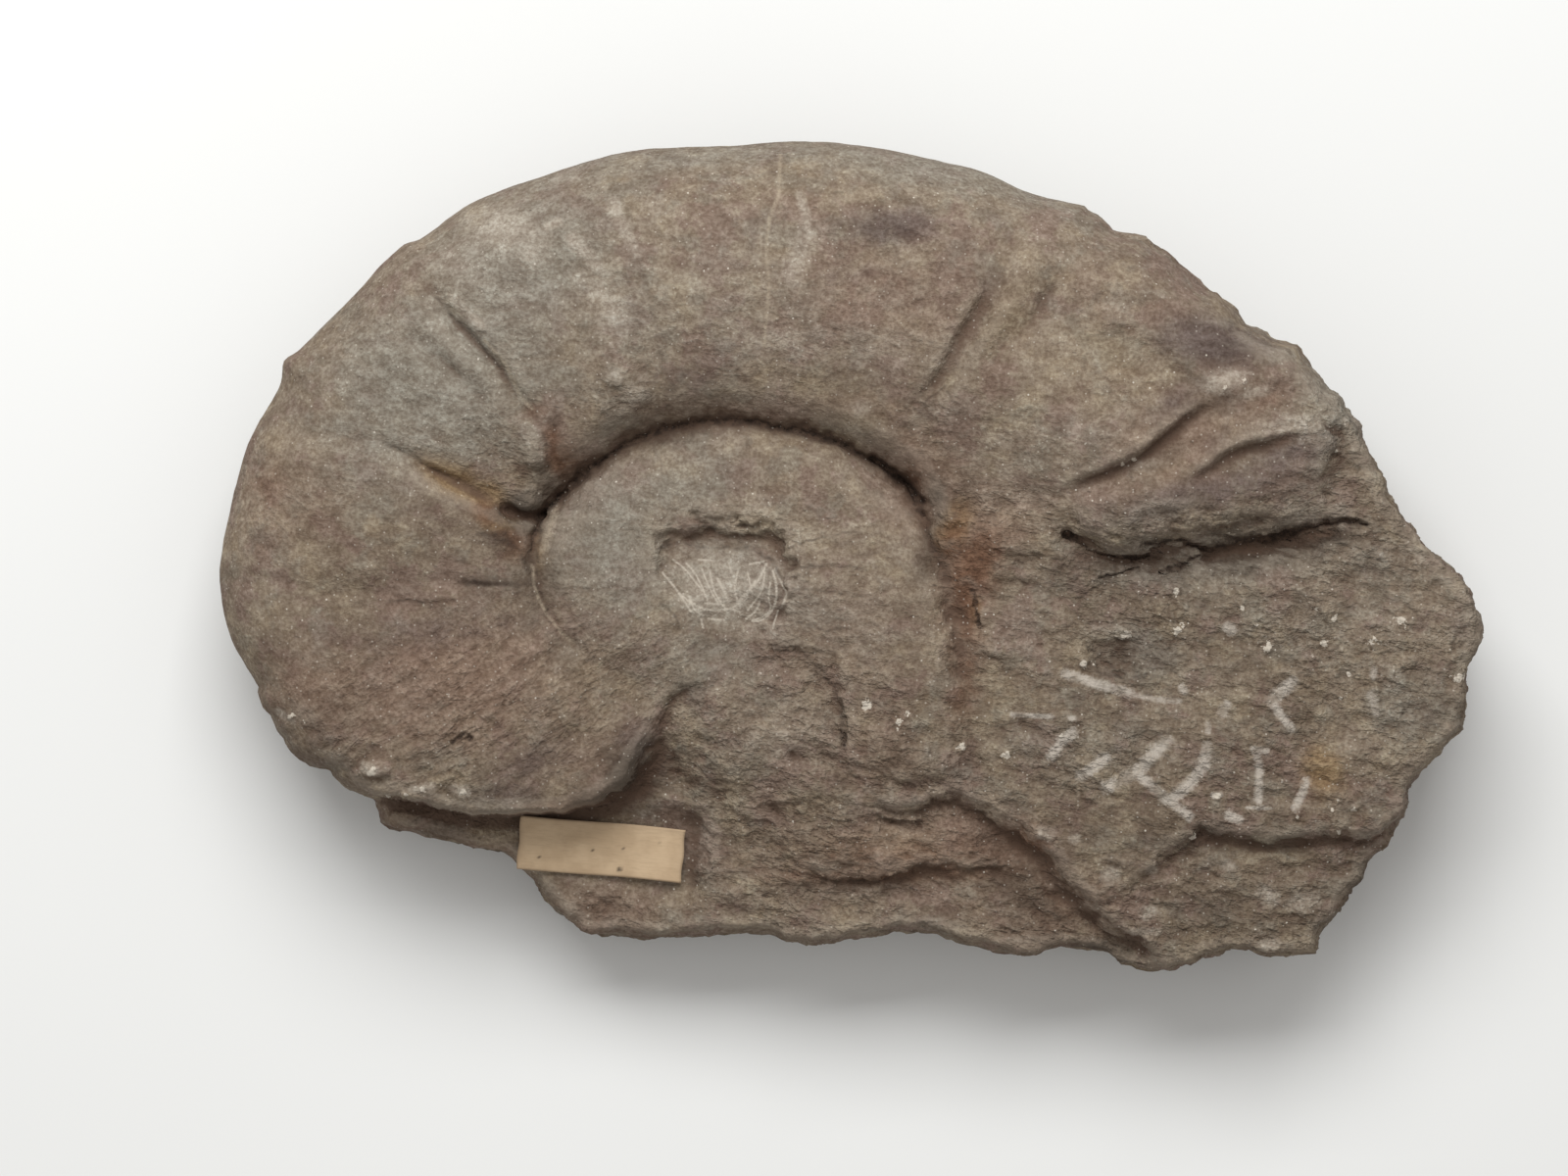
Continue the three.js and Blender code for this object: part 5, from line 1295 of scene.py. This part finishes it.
def stone_mesh(material):
    """The stone with its marks and painted light and shade stored at its points, and which of its
    points are on the face.
    """
    points, faces, on_face = stone_faces()
    stone = mesh_object("ammonite_stone_surface", (points * MM).tolist(), faces.tolist(), material)
    x, y, z = points.T
    angle, radius = about_axis(x, y)
    turn = whorl_turn(angle)
    side = ramp(turn, SHELL_SIDE_START) * ramp(turn, SHELL_SIDE_END)
    kept = np.maximum(raised(KEPT_SHELL_LINE, x, y), side * (radius > SHELL_SIDE_RADIUS))
    shell = np.where(on_face, kept, side)
    rough = clamp(1 - shell + spot_amount(WORN_SHELL, x, y))
    for name, amount in stone_marks(points).items():
        give(stone.data, name, amount)
    give(stone.data, "rough", rough * (1 - LABEL_BED_SMOOTHNESS * label_bed(x, y)))
    give(stone.data, "shell", shell)
    give(stone.data, "coil", np.column_stack([np.radians(turn) * COIL_SPAN, radius, z]))
    return stone, on_face


def stone_grit_share(points, on_face):
    """Where loose grit lies: on the rough parts of the face, away from the stone's lower side."""
    x, y, z = points.T
    bare = 1 - raised(KEPT_SHELL_LINE, x, y) + spot_amount(WORN_SHELL, x, y)
    return np.where(on_face & (z > GRIT_LEVEL), clamp(bare), 0)


class Nodes:
    """Adds nodes to a tree, each joined to what feeds it."""

    def __init__(self, tree):
        self.tree = tree

    def add(self, kind, feeds=None, **settings):
        node = self.tree.nodes.new(kind)
        for name, value in settings.items():
            setattr(node, name, value)
        for socket, feed in (feeds or {}).items():
            self.feed(node.inputs[socket], feed)
        return node

    def feed(self, socket, feed):
        if isinstance(feed, bpy.types.NodeSocket):
            self.tree.links.new(feed, socket)
        else:
            socket.default_value = feed

    def math(self, operation, *values):
        return self.add("ShaderNodeMath", dict(enumerate(values)), operation=operation).outputs[0]

    def times(self, a, b):
        return self.math("MULTIPLY", a, b)

    def plus(self, a, b):
        return self.math("ADD", a, b)

    def minus(self, a, b):
        return self.math("SUBTRACT", a, b)

    def vector(self, operation, *values):
        node = self.add("ShaderNodeVectorMath", dict(enumerate(values)), operation=operation)
        return node.outputs[0]

    def scaled(self, vector, scale):
        node = self.add("ShaderNodeVectorMath", {0: vector, "Scale": scale}, operation="SCALE")
        return node.outputs[0]

    def combined(self, x, y, z):
        return self.add("ShaderNodeCombineXYZ", {0: x, 1: y, 2: z}).outputs[0]

    def turned(self, where, degrees):
        feeds = {"Vector": where, "Angle": self.math("RADIANS", degrees)}
        return self.add("ShaderNodeVectorRotate", feeds, rotation_type="Z_AXIS").outputs[0]

    def noise(self, where, size, detail, roughness, distortion=0.0):
        feeds = {
            "Vector": where, "Scale": 1 / size, "Detail": detail, "Roughness": roughness,
            "Distortion": distortion,
        }
        return self.add("ShaderNodeTexNoise", feeds).outputs[0]

    def drawn_out(self, where, sizes, detail, roughness, distortion=0.0):
        """Noise with a size of its own along each axis."""
        return self.noise(self.vector("DIVIDE", where, sizes), 1.0, detail, roughness, distortion)

    def scales(self, where, sizes, steps):
        """Noise cut into steps, each with a short riser, as layers of broken rock are."""
        level = self.times(self.drawn_out(where, sizes, 4.0, 0.55, 0.3), steps)
        riser = self.between(self.math("FRACT", level), 0.55, 1.0)
        return self.plus(self.math("FLOOR", level), riser)

    def cells(self, where, size):
        """Random cells: the distance from their middles, and three chances for each cell."""
        cells = self.add("ShaderNodeTexVoronoi", {"Vector": where, "Scale": 1 / size}).outputs
        return cells["Distance"], self.add("ShaderNodeSeparateColor", {0: cells["Color"]}).outputs

    def between(self, value, low, high, start=0.0, end=1.0):
        """Eases from `start` to `end` while the value goes from `low` to `high`."""
        feeds = {"Value": value, "From Min": low, "From Max": high, "To Min": start, "To Max": end}
        return self.add("ShaderNodeMapRange", feeds, interpolation_type="SMOOTHSTEP").outputs[0]

    def lean(self, share, a, b):
        """A number between two others."""
        return self.add("ShaderNodeMix", {0: share, 2: a, 3: b}, data_type="FLOAT").outputs[0]

    def blend(self, share, a, b, how="MIX"):
        """A colour between two others, each a node's or its own red, green and blue."""
        a, b = ((*color, 1) if isinstance(color, tuple) else color for color in (a, b))
        node = self.add("ShaderNodeMix", {0: share, 6: a, 7: b}, data_type="RGBA", blend_type=how)
        return node.outputs[2]


class Shaping(Nodes):
    """The nodes of a new geometry tree, which has a geometry input, the given named inputs and a
    geometry output."""

    def __init__(self, name, sockets):
        super().__init__(bpy.data.node_groups.new(name, "GeometryNodeTree"))
        ports = self.tree.interface
        ports.new_socket("Geometry", in_out="INPUT", socket_type="NodeSocketGeometry")
        for label, (kind, value) in sockets.items():
            socket = ports.new_socket(label, in_out="INPUT", socket_type=kind)
            if value is not None:
                socket.default_value = value
        ports.new_socket("Geometry", in_out="OUTPUT", socket_type="NodeSocketGeometry")
        self.given = self.add("NodeGroupInput").outputs

    def stored(self, name, kind="FLOAT"):
        """What the mesh holds under a name."""
        feeds = {"Name": name}
        return self.add("GeometryNodeInputNamedAttribute", feeds, data_type=kind).outputs[0]

    def position(self):
        return self.add("GeometryNodeInputPosition").outputs[0]

    def moved(self, geometry, **feeds):
        return self.add("GeometryNodeSetPosition", {"Geometry": geometry, **feeds}).outputs[0]

    def chance(self, low, high, seed, kind="FLOAT_VECTOR"):
        """A random number, or three, for each point."""
        first = 2 if kind == "FLOAT" else 0
        feeds = {first: low, first + 1: high, "Seed": seed}
        return self.add("FunctionNodeRandomValue", feeds, data_type=kind).outputs[first // 2]

    def finish(self, geometry):
        real = self.add("GeometryNodeRealizeInstances", {0: geometry}).outputs[0]
        feeds = {"Geometry": real, "Material": self.given["Material"]}
        self.add("NodeGroupOutput", {0: self.add("GeometryNodeSetMaterial", feeds).outputs[0]})
        return self.tree


def run_tree(obj, tree, **values):
    """Runs a geometry tree on an object with its inputs set by name and keeps the plain mesh."""
    modifier = obj.modifiers.new(tree.name, "NODES")
    modifier.node_group = tree
    for item in tree.interface.items_tree:
        if item.in_out == "INPUT" and item.name in values:
            modifier[item.identifier] = values[item.name]
    graph = bpy.context.evaluated_depsgraph_get()
    made = obj.evaluated_get(graph)
    mesh = bpy.data.meshes.new_from_object(made, preserve_all_data_layers=True, depsgraph=graph)
    obj.modifiers.remove(modifier)
    obj.data = mesh
    mesh.name = obj.name
    return obj


def relief_tree():
    """Roughens the stone: wide humps, scaly bedding steps and crags where it is broken, growth
    lines and a soft grain where the shell is kept. Heights and sizes are in millimetres."""
    nodes = Shaping("stone_relief", {
        "Hump height": (FLOAT, 1.6), "Hump size": (FLOAT, 15.0), "Scale height": (FLOAT, 0.40),
        "Scale length": (FLOAT, 12.0), "Scale width": (FLOAT, 4.2), "Turn": (FLOAT, BEDDING_TURN),
        "Slanting turn": (FLOAT, WORN_TURN), "Crag height": (FLOAT, 1.9), "Crag size": (FLOAT, 4.4),
        "Growth height": (FLOAT, 0.25), "Growth width": (FLOAT, 4.0), "Chip height": (FLOAT, 0.2),
        "Shift": ("NodeSocketVector", (0, 0, 0)), "Material": ("NodeSocketMaterial", None),
    })
    given = nodes.given
    place = nodes.vector("ADD", nodes.scaled(nodes.position(), 1 / MM), given["Shift"])

    def noisy(size, height, detail, roughness, distortion=0.0):
        """Noise about a level of 0."""
        sizes = nodes.combined(size, size, size)
        value = nodes.drawn_out(place, sizes, detail, roughness, distortion)
        return nodes.times(nodes.minus(value, 0.5), height)

    rough = nodes.stored("rough")
    sizes = nodes.combined(given["Scale length"], given["Scale width"], given["Scale width"])
    straight = nodes.scales(nodes.turned(place, given["Turn"]), sizes, RELIEF_STEPS)
    slanting = nodes.scales(nodes.turned(place, given["Slanting turn"]), sizes, RELIEF_STEPS)
    scales = nodes.minus(nodes.lean(nodes.stored("slant"), straight, slanting), RELIEF_STEPS / 2)
    scales = nodes.times(scales, given["Scale height"])
    crags = noisy(given["Crag size"], given["Crag height"], 5.0, 0.6, 0.6)
    broken = nodes.times(nodes.between(rough, 0.0, 1.0, 0.14, 1.0), nodes.plus(scales, crags))
    humps = noisy(given["Hump size"], given["Hump height"], 2.0, 0.5)
    humps = nodes.times(humps, nodes.between(rough, 0.0, 1.0, 0.6, 1.3))

    along = nodes.combined(given["Growth width"], GROWTH_LENGTH, GROWTH_LENGTH)
    growth = nodes.drawn_out(nodes.stored("coil", "FLOAT_VECTOR"), along, 4.0, 0.6)
    growth = nodes.times(nodes.minus(growth, 0.5), given["Growth height"])
    growth = nodes.times(growth, nodes.minus(1.0, rough))
    chips = nodes.times(nodes.between(nodes.stored("chips"), 0.35, 0.7), given["Chip height"])

    height = nodes.plus(nodes.plus(broken, humps), nodes.plus(growth, chips))
    normal = nodes.add("GeometryNodeInputNormal").outputs[0]
    roughened = nodes.moved(given["Geometry"], Offset=nodes.scaled(normal, nodes.times(height, MM)))

    # Nothing is moved below the resting face
    x, y, z = nodes.add("ShaderNodeSeparateXYZ", {0: nodes.position()}).outputs
    kept = nodes.combined(x, y, nodes.math("MAXIMUM", z, 0.0))
    return nodes.finish(nodes.moved(roughened, Position=kept))


def crumb_tree():
    """Scatters small angular crumbs over a surface, as thickly as a named attribute says.
    Sizes are in metres and the density is per square metre."""
    nodes = Shaping("crumb_scatter", {
        "Where": ("NodeSocketString", "chips"), "Density": (FLOAT, 1e6), "Smallest": (FLOAT, 2e-4),
        "Largest": (FLOAT, 6e-4), "Sunk": (FLOAT, 1e-4), "Seed": ("NodeSocketInt", 7),
        "Material": ("NodeSocketMaterial", None),
    })
    given = nodes.given
    density = nodes.times(nodes.stored(given["Where"]), given["Density"])
    feeds = {"Mesh": given["Geometry"], "Density": density, "Seed": given["Seed"]}
    spread = nodes.add("GeometryNodeDistributePointsOnFaces", feeds)
    sink = nodes.scaled(spread.outputs["Normal"], nodes.times(given["Sunk"], -1.0))
    points = nodes.moved(spread.outputs[0], Offset=sink)

    ball = nodes.add("GeometryNodeMeshIcoSphere", {"Radius": 1.0, "Subdivisions": 1}).outputs[0]
    jag = nodes.chance(CRUMB_LEAST, CRUMB_MOST, CRUMB_SEED)
    crumb = nodes.moved(ball, Position=nodes.vector("MULTIPLY", nodes.position(), jag))
    spin = nodes.chance((0, 0, 0), (FULL_TURN, FULL_TURN, FULL_TURN), given["Seed"])
    size = nodes.chance(given["Smallest"], given["Largest"], given["Seed"], "FLOAT")
    feeds = {"Points": points, "Instance": crumb, "Rotation": spin, "Scale": size}
    return nodes.finish(nodes.add("GeometryNodeInstanceOnPoints", feeds).outputs[0])


class Look(Nodes):
    """The nodes of a new material, with the place on the object in millimetres."""

    def __init__(self, name, roughness, specular):
        self.material = bpy.data.materials.new(name)
        self.material.use_nodes = True
        super().__init__(self.material.node_tree)
        self.shader = self.tree.nodes["Principled BSDF"]
        self.shader.inputs["Roughness"].default_value = roughness
        self.shader.inputs["Specular IOR Level"].default_value = specular
        self.place = self.scaled(self.add("ShaderNodeTexCoord").outputs["Object"], 1 / MM)

    def stored(self, name, output="Fac"):
        """What the mesh holds under a name."""
        return self.add("ShaderNodeAttribute", attribute_name=name).outputs[output]

    def pattern(self, name):
        """One of the named noises."""
        where = self.vector("ADD", self.place, SHIFTS[name]) if name in SHIFTS else self.place
        return self.noise(where, *NOISES[name])

    def along_bedding(self, pattern, *given):
        """A pattern drawn out along the bedding, which slants where the shell is worn."""
        turns = (BEDDING_TURN, WORN_TURN)
        straight, slanting = (pattern(self.turned(self.place, turn), *given) for turn in turns)
        return self.lean(self.stored("slant"), straight, slanting)

    def tinted(self, color, factor):
        """The colour darker or lighter, and redder where it is darker."""
        shares = [self.math("POWER", factor, power) for power in TINT_POWERS]
        factors = self.add("ShaderNodeCombineColor", dict(enumerate(shares))).outputs[0]
        return self.blend(1.0, color, factors, "MULTIPLY")

    def covered(self, color, covers, source):
        """The colour under some covers, whose amounts come from a source by name."""
        for name, low, high, strength, tone in covers:
            share = self.between(source(name), low, high, 0.0, strength)
            color = self.blend(share, color, tone)
        return color

    def paint(self, color):
        self.feed(self.shader.inputs["Base Color"], color)

    def emboss(self, height, strength, distance):
        feeds = {"Height": height, "Strength": strength, "Distance": distance * MM}
        self.feed(self.shader.inputs["Normal"], self.add("ShaderNodeBump", feeds).outputs[0])


def stone_patterns(look):
    """The fine relief by name, which also shades the colour."""
    feeds = {"Vector": look.place, "Scale": FACET_STRAY_SCALE, "Detail": 2.0}
    stray = look.add("ShaderNodeTexNoise", feeds).outputs["Color"]
    strayed = look.vector("ADD", look.place, look.scaled(stray, FACET_STRAY))
    feeds = {"Vector": strayed, "Scale": 1 / FACET_SIZE, "Detail": 1.0, "Roughness": 0.6}
    facets = look.add("ShaderNodeTexVoronoi", feeds).outputs["Distance"]

    creases = look.along_bedding(look.drawn_out, *DRAWN_OUT["creases"])
    creases = look.between(look.math("ABSOLUTE", look.minus(creases, 0.5)), 0.028, 0.004)
    creases = look.times(creases, look.between(look.pattern("crease_gaps"), 0.52, 0.60))
    creases = look.times(creases, look.between(look.stored("rough"), 0.0, 0.8, 0.10, 1.0))
    return {
        "flakes": look.along_bedding(look.drawn_out, *DRAWN_OUT["flakes"]),
        "steps": look.along_bedding(look.scales, STEP_SIZES, FINE_STEPS),
        "grain": look.pattern("grain"), "mottle": look.pattern("mottle"), "facets": facets,
        "creases": creases,
    }


def ground_color(look):
    """The stone's ground colour, painted lighter where lit and darker where shaded, and partly its
    own lighter and darker tone, with its own patches and the streaks of growth lines.
    """
    broad = look.between(look.pattern("broad"), 0.38, 0.62)
    shaded_ground, lit = (look.blend(broad, *tones) for tones in (SHADED_STONE, LIT_STONE))
    color = look.blend(look.stored("lit"), shaded_ground, lit)
    color = look.covered(color, PATCHES, look.pattern)
    growth = look.drawn_out(look.stored("coil", "Vector"), *DRAWN_OUT["streaks"])
    streak = look.times(look.between(growth, 0.5, 0.66, 0.0, 0.34), look.stored("shell"))
    return look.blend(streak, color, STREAK)


def with_stains_and_shade(look, color):
    """The colour with its stains, tones and painted shade, whose edges are ragged."""
    ragged_edge = look.times(look.minus(look.pattern("ragged_edge"), 0.5), 1.1)
    for name, stain_and_shade_color, strength in STAINS_AND_SHADE:
        given = look.stored(name)
        share = look.between(look.plus(given, ragged_edge), 0.05, 0.95, 0.0, strength)
        color = look.blend(look.times(share, look.between(given, 0.02, 0.30)), color, stain_and_shade_color)
    return color


def shaded(look, color, patterns):
    """The colour shaded by the fine relief and by the hollows and brows of the face."""
    for name, span in TINTS.items():
        color = look.tinted(color, look.between(patterns[name], *span))
    color = look.covered(color, HOLLOWS, look.stored)
    return look.blend(look.times(patterns["creases"], 0.20), color, CREASE_SHADE)


def marked(look, color):
    """The colour with chalk, white crumbs and lines on it; the dark lines are painted shade."""
    given = look.stored("chalk")
    chalk = look.plus(given, look.times(look.minus(look.pattern("powder"), 0.60), 1.7))
    chalk = look.times(look.between(chalk, 0.10, 0.85, 0.0, 0.86), look.between(given, 0.0, 0.2))
    worn = look.between(look.pattern("worn_chalk"), 0.38, 0.58, 0.35, 1.0)
    color = look.blend(look.times(chalk, worn), color, CHALK_DUST)

    given = look.stored("chips")
    jag = look.times(look.minus(look.pattern("crumb_edge"), 0.5), 3.4)
    crumb = look.between(look.plus(given, jag), 0.62, 0.74)
    crumb = look.times(crumb, look.between(given, 0.05, 0.2))
    color = look.blend(look.times(crumb, 0.85), color, WHITE_CRUMB)

    for name, gaps, span, tone in LINES:
        share = look.times(look.stored(name), look.between(look.pattern(gaps), *span))
        color = look.blend(share, color, tone)
    return color


def speckled(look, color):
    """The colour with painted glints as pale specks of two sizes, and short dark dashes of painted
    shadow along the bedding.
    """
    for size, reach, least, strength in SPECKS:
        distance, chance = look.cells(look.place, size)
        speck = look.between(distance, reach, reach * 0.6)
        speck = look.times(speck, look.math("GREATER_THAN", chance[0], least))
        color = look.blend(look.times(speck, strength), color, PAINTED_GLINT)
    dashes = look.vector("DIVIDE", look.turned(look.place, DASH_TURN), DASH_SIZES)
    distance, chance = look.cells(dashes, 1.0)
    luck = look.plus(chance[1], look.times(look.stored("rough"), 0.05))
    dash = look.times(look.between(distance, 0.20, 0.08), look.math("GREATER_THAN", luck, 0.95))
    return look.blend(look.times(dash, 0.6), color, PAINTED_DASH_SHADOW)


def stone_height(look, patterns):
    """The fine relief's height, more in some places than in others."""
    height = 0.0
    for name, (kept, rough) in RELIEF_HEIGHTS.items():
        share = look.between(look.stored("rough"), 0.0, 1.0, kept, rough)
        height = look.plus(height, look.times(patterns[name], share))
    return look.times(height, look.between(look.pattern("uneven"), 0.36, 0.62, 0.55, 1.25))


def stone_material():
    """Brown-grey marly limestone: mottled, speckled, scratched, dusted with chalk and with stains
    on it, and with painted light and shade.
    """
    look = Look("marly_limestone", 0.93, 0.16)
    patterns = stone_patterns(look)
    color = shaded(look, with_stains_and_shade(look, ground_color(look)), patterns)
    look.paint(speckled(look, marked(look, color)))
    look.emboss(stone_height(look, patterns), 1.0, 1.0)
    return look.material


def calcite_material():
    """Chalky white calcite crumbs."""
    look = Look("white_calcite", 0.8, 0.3)
    patchy = look.pattern("calcite")
    look.paint(look.blend(look.between(patchy, 0.35, 0.65), *CALCITE))
    look.emboss(patchy, 0.5, 0.2)
    return look.material


def paper_material():
    """Aged tan paper: faint fibres and blotches, browner at its edges, with a few dark specks."""
    look = Look("aged_paper", 0.82, 0.25)
    fibres = look.drawn_out(look.stored("sheet", "Vector"), *DRAWN_OUT["fibres"])
    color = look.blend(look.between(look.pattern("blotches"), 0.36, 0.64), *PAPER)
    color = look.blend(look.between(fibres, 0.45, 0.70, 0.0, 0.30), color, PAPER_FIBRE)
    color = look.blend(look.times(look.stored("worn_edge"), 0.55), color, PAPER_EDGE)
    look.paint(look.blend(look.times(look.stored("speck"), 0.9), color, PAPER_SPECK))
    look.emboss(fibres, 0.35, 0.12)
    return look.material


def sheet_faces(columns, rows):
    """Faces of a closed sheet: a grid of points, the same grid under it, and the rim."""
    count = columns * rows
    faces = []
    for r in range(rows - 1):
        for c in range(columns - 1):
            a = r * columns + c
            b = a + columns
            faces.append((a, a + 1, b + 1, b))
            faces.append((count + a, count + b, count + b + 1, count + a + 1))
    rim = list(range(columns)) + [r * columns + columns - 1 for r in range(1, rows)]
    rim += [(rows - 1) * columns + c for c in range(columns - 2, -1, -1)]
    rim += [r * columns for r in range(rows - 2, 0, -1)]
    for a, b in zip(rim, rim[1:] + rim[:1]):
        faces.append((b, a, count + a, count + b))
    return faces


def label_mesh(material):
    """A thin closed sheet that follows its bed, with slightly uneven cuts and lifted corners."""
    u, v = np.meshgrid(np.linspace(-1, 1, LABEL_COLUMNS), np.linspace(-1, 1, LABEL_ROWS))
    u, v = u.ravel(), v.ravel()
    along = u * LABEL_LENGTH / 2 + END_CUT_STRAY * np.sin(5.1 * v + 1.3) * np.abs(u)
    across = v * LABEL_WIDTH / 2 + SIDE_CUT_STRAY * np.sin(3.7 * u + 0.4) * np.abs(v)
    lift = LABEL_LIFT + LABEL_CURL * (0.55 * u**4 + 0.35 * v**4 + 0.5 * (u * v) ** 4)
    lift = lift + LABEL_WAVE * np.sin(9 * u + 2 * v) * (1 - v * v)
    turn = math.radians(LABEL_TURN)
    slope = math.atan(LABEL_PLANE[4])
    spin = np.array(Euler((slope, 0, 0)).to_matrix() @ Euler((0, 0, turn)).to_matrix())
    centre = np.array([LABEL_X, LABEL_Y, plane_level(LABEL_PLANE, LABEL_X, LABEL_Y)])
    under = np.column_stack([along, across, lift])
    over = under + [0, 0, LABEL_THICKNESS]
    points = np.vstack([over, under]) @ spin.T + centre
    faces = sheet_faces(LABEL_COLUMNS, LABEL_ROWS)
    label = mesh_object("paper_label_sheet", points * MM, faces, material)

    edge = np.minimum((1 - np.abs(u)) * LABEL_LENGTH / 2, (1 - np.abs(v)) * LABEL_WIDTH / 2)
    speck = np.zeros(len(u))
    for x, y, reach in LABEL_SPECKS:
        speck = np.maximum(speck, smooth(1.6 - np.hypot(along - x, across - y) / reach))
    give(label.data, "sheet", np.vstack([under, under]))
    give(label.data, "worn_edge", np.tile(np.exp(-edge / WORN_EDGE_WIDTH), 2))
    give(label.data, "speck", np.tile(speck, 2))
    return label


def build_floor():
    look = Look("pale_floor", 0.9, 0.2)
    look.paint(look.blend(look.between(look.pattern("floor"), 0.3, 0.7), *PALE_FLOOR))
    half = FLOOR_SIZE / 2
    corners = [(-half, -half, 0), (half, -half, 0), (half, half, 0), (-half, half, 0)]
    floor = mesh_object("floor", corners, [(0, 1, 2, 3)], look.material)


def build_light():
    """An even light from all round, and a wide window beyond the shell's outer edge."""
    world = bpy.data.worlds.new("soft_room")
    world.use_nodes = True
    background = world.node_tree.nodes["Background"]
    background.inputs["Color"].default_value = (*ROOM_COLOR, 1)
    background.inputs["Strength"].default_value = ROOM_STRENGTH
    bpy.context.scene.world = world

    lamp = bpy.data.lights.new("window", "AREA")
    lamp.shape = "RECTANGLE"
    lamp.size, lamp.size_y = WINDOW_SIZE
    lamp.energy = WINDOW_POWER
    lamp.color = WINDOW_COLOR
    window = bpy.data.objects.new("window", lamp)
    window.location = WINDOW_PLACE
    toward = Vector(WINDOW_AIM) - Vector(WINDOW_PLACE)
    window.rotation_euler = toward.to_track_quat("-Z", "Y").to_euler()
    bpy.context.scene.collection.objects.link(window)


def build_camera():
    """A camera straight over the stone."""
    camera = bpy.data.cameras.new("camera")
    camera.sensor_fit = "HORIZONTAL"
    camera.sensor_width = SENSOR_WIDTH
    camera.lens = SENSOR_WIDTH * CAMERA_HEIGHT / VIEW_WIDTH
    camera.clip_end = CAMERA_REACH
    eye = bpy.data.objects.new("camera", camera)
    x, y, z = CAMERA_AIM
    eye.location = Vector((x, y, z + CAMERA_HEIGHT)) * MM
    bpy.context.scene.collection.objects.link(eye)
    bpy.context.scene.camera = eye
    bpy.context.scene.view_settings.view_transform = "Standard"


def main():
    limestone = stone_material()
    calcite = calcite_material()
    stone, on_face = stone_mesh(limestone)
    run_tree(stone, relief_tree(), Material=limestone)
    points = np.empty(len(stone.data.vertices) * 3, np.float32)
    stone.data.vertices.foreach_get("co", points)
    points = points.reshape(-1, 3) / MM
    give(stone.data, "hollow", hollow_amount(points, on_face, HOLLOW_SIZE))
    give(stone.data, "hollow_wide", hollow_amount(points, on_face, WIDE_HOLLOW_SIZE))
    give(stone.data, "grit", stone_grit_share(points, on_face))

    crumbs = crumb_tree()
    chips = mesh_object("calcite_crumbs", [], [], calcite)
    chips.data = stone.data.copy()
    run_tree(chips, crumbs, Material=calcite, **CHIP_SPREAD)
    grains = mesh_object("stone_grit", [], [], limestone)
    grains.data = stone.data.copy()
    run_tree(grains, crumbs, Material=limestone, **GRIT_SPREAD)

    label = label_mesh(paper_material())
    for piece in (stone, chips, grains):
        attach(piece, "root")
    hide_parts("ammonite_stone")
    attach(label, "root")
    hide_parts("paper_label")
    build_floor()
    build_light()
    build_camera()


main()
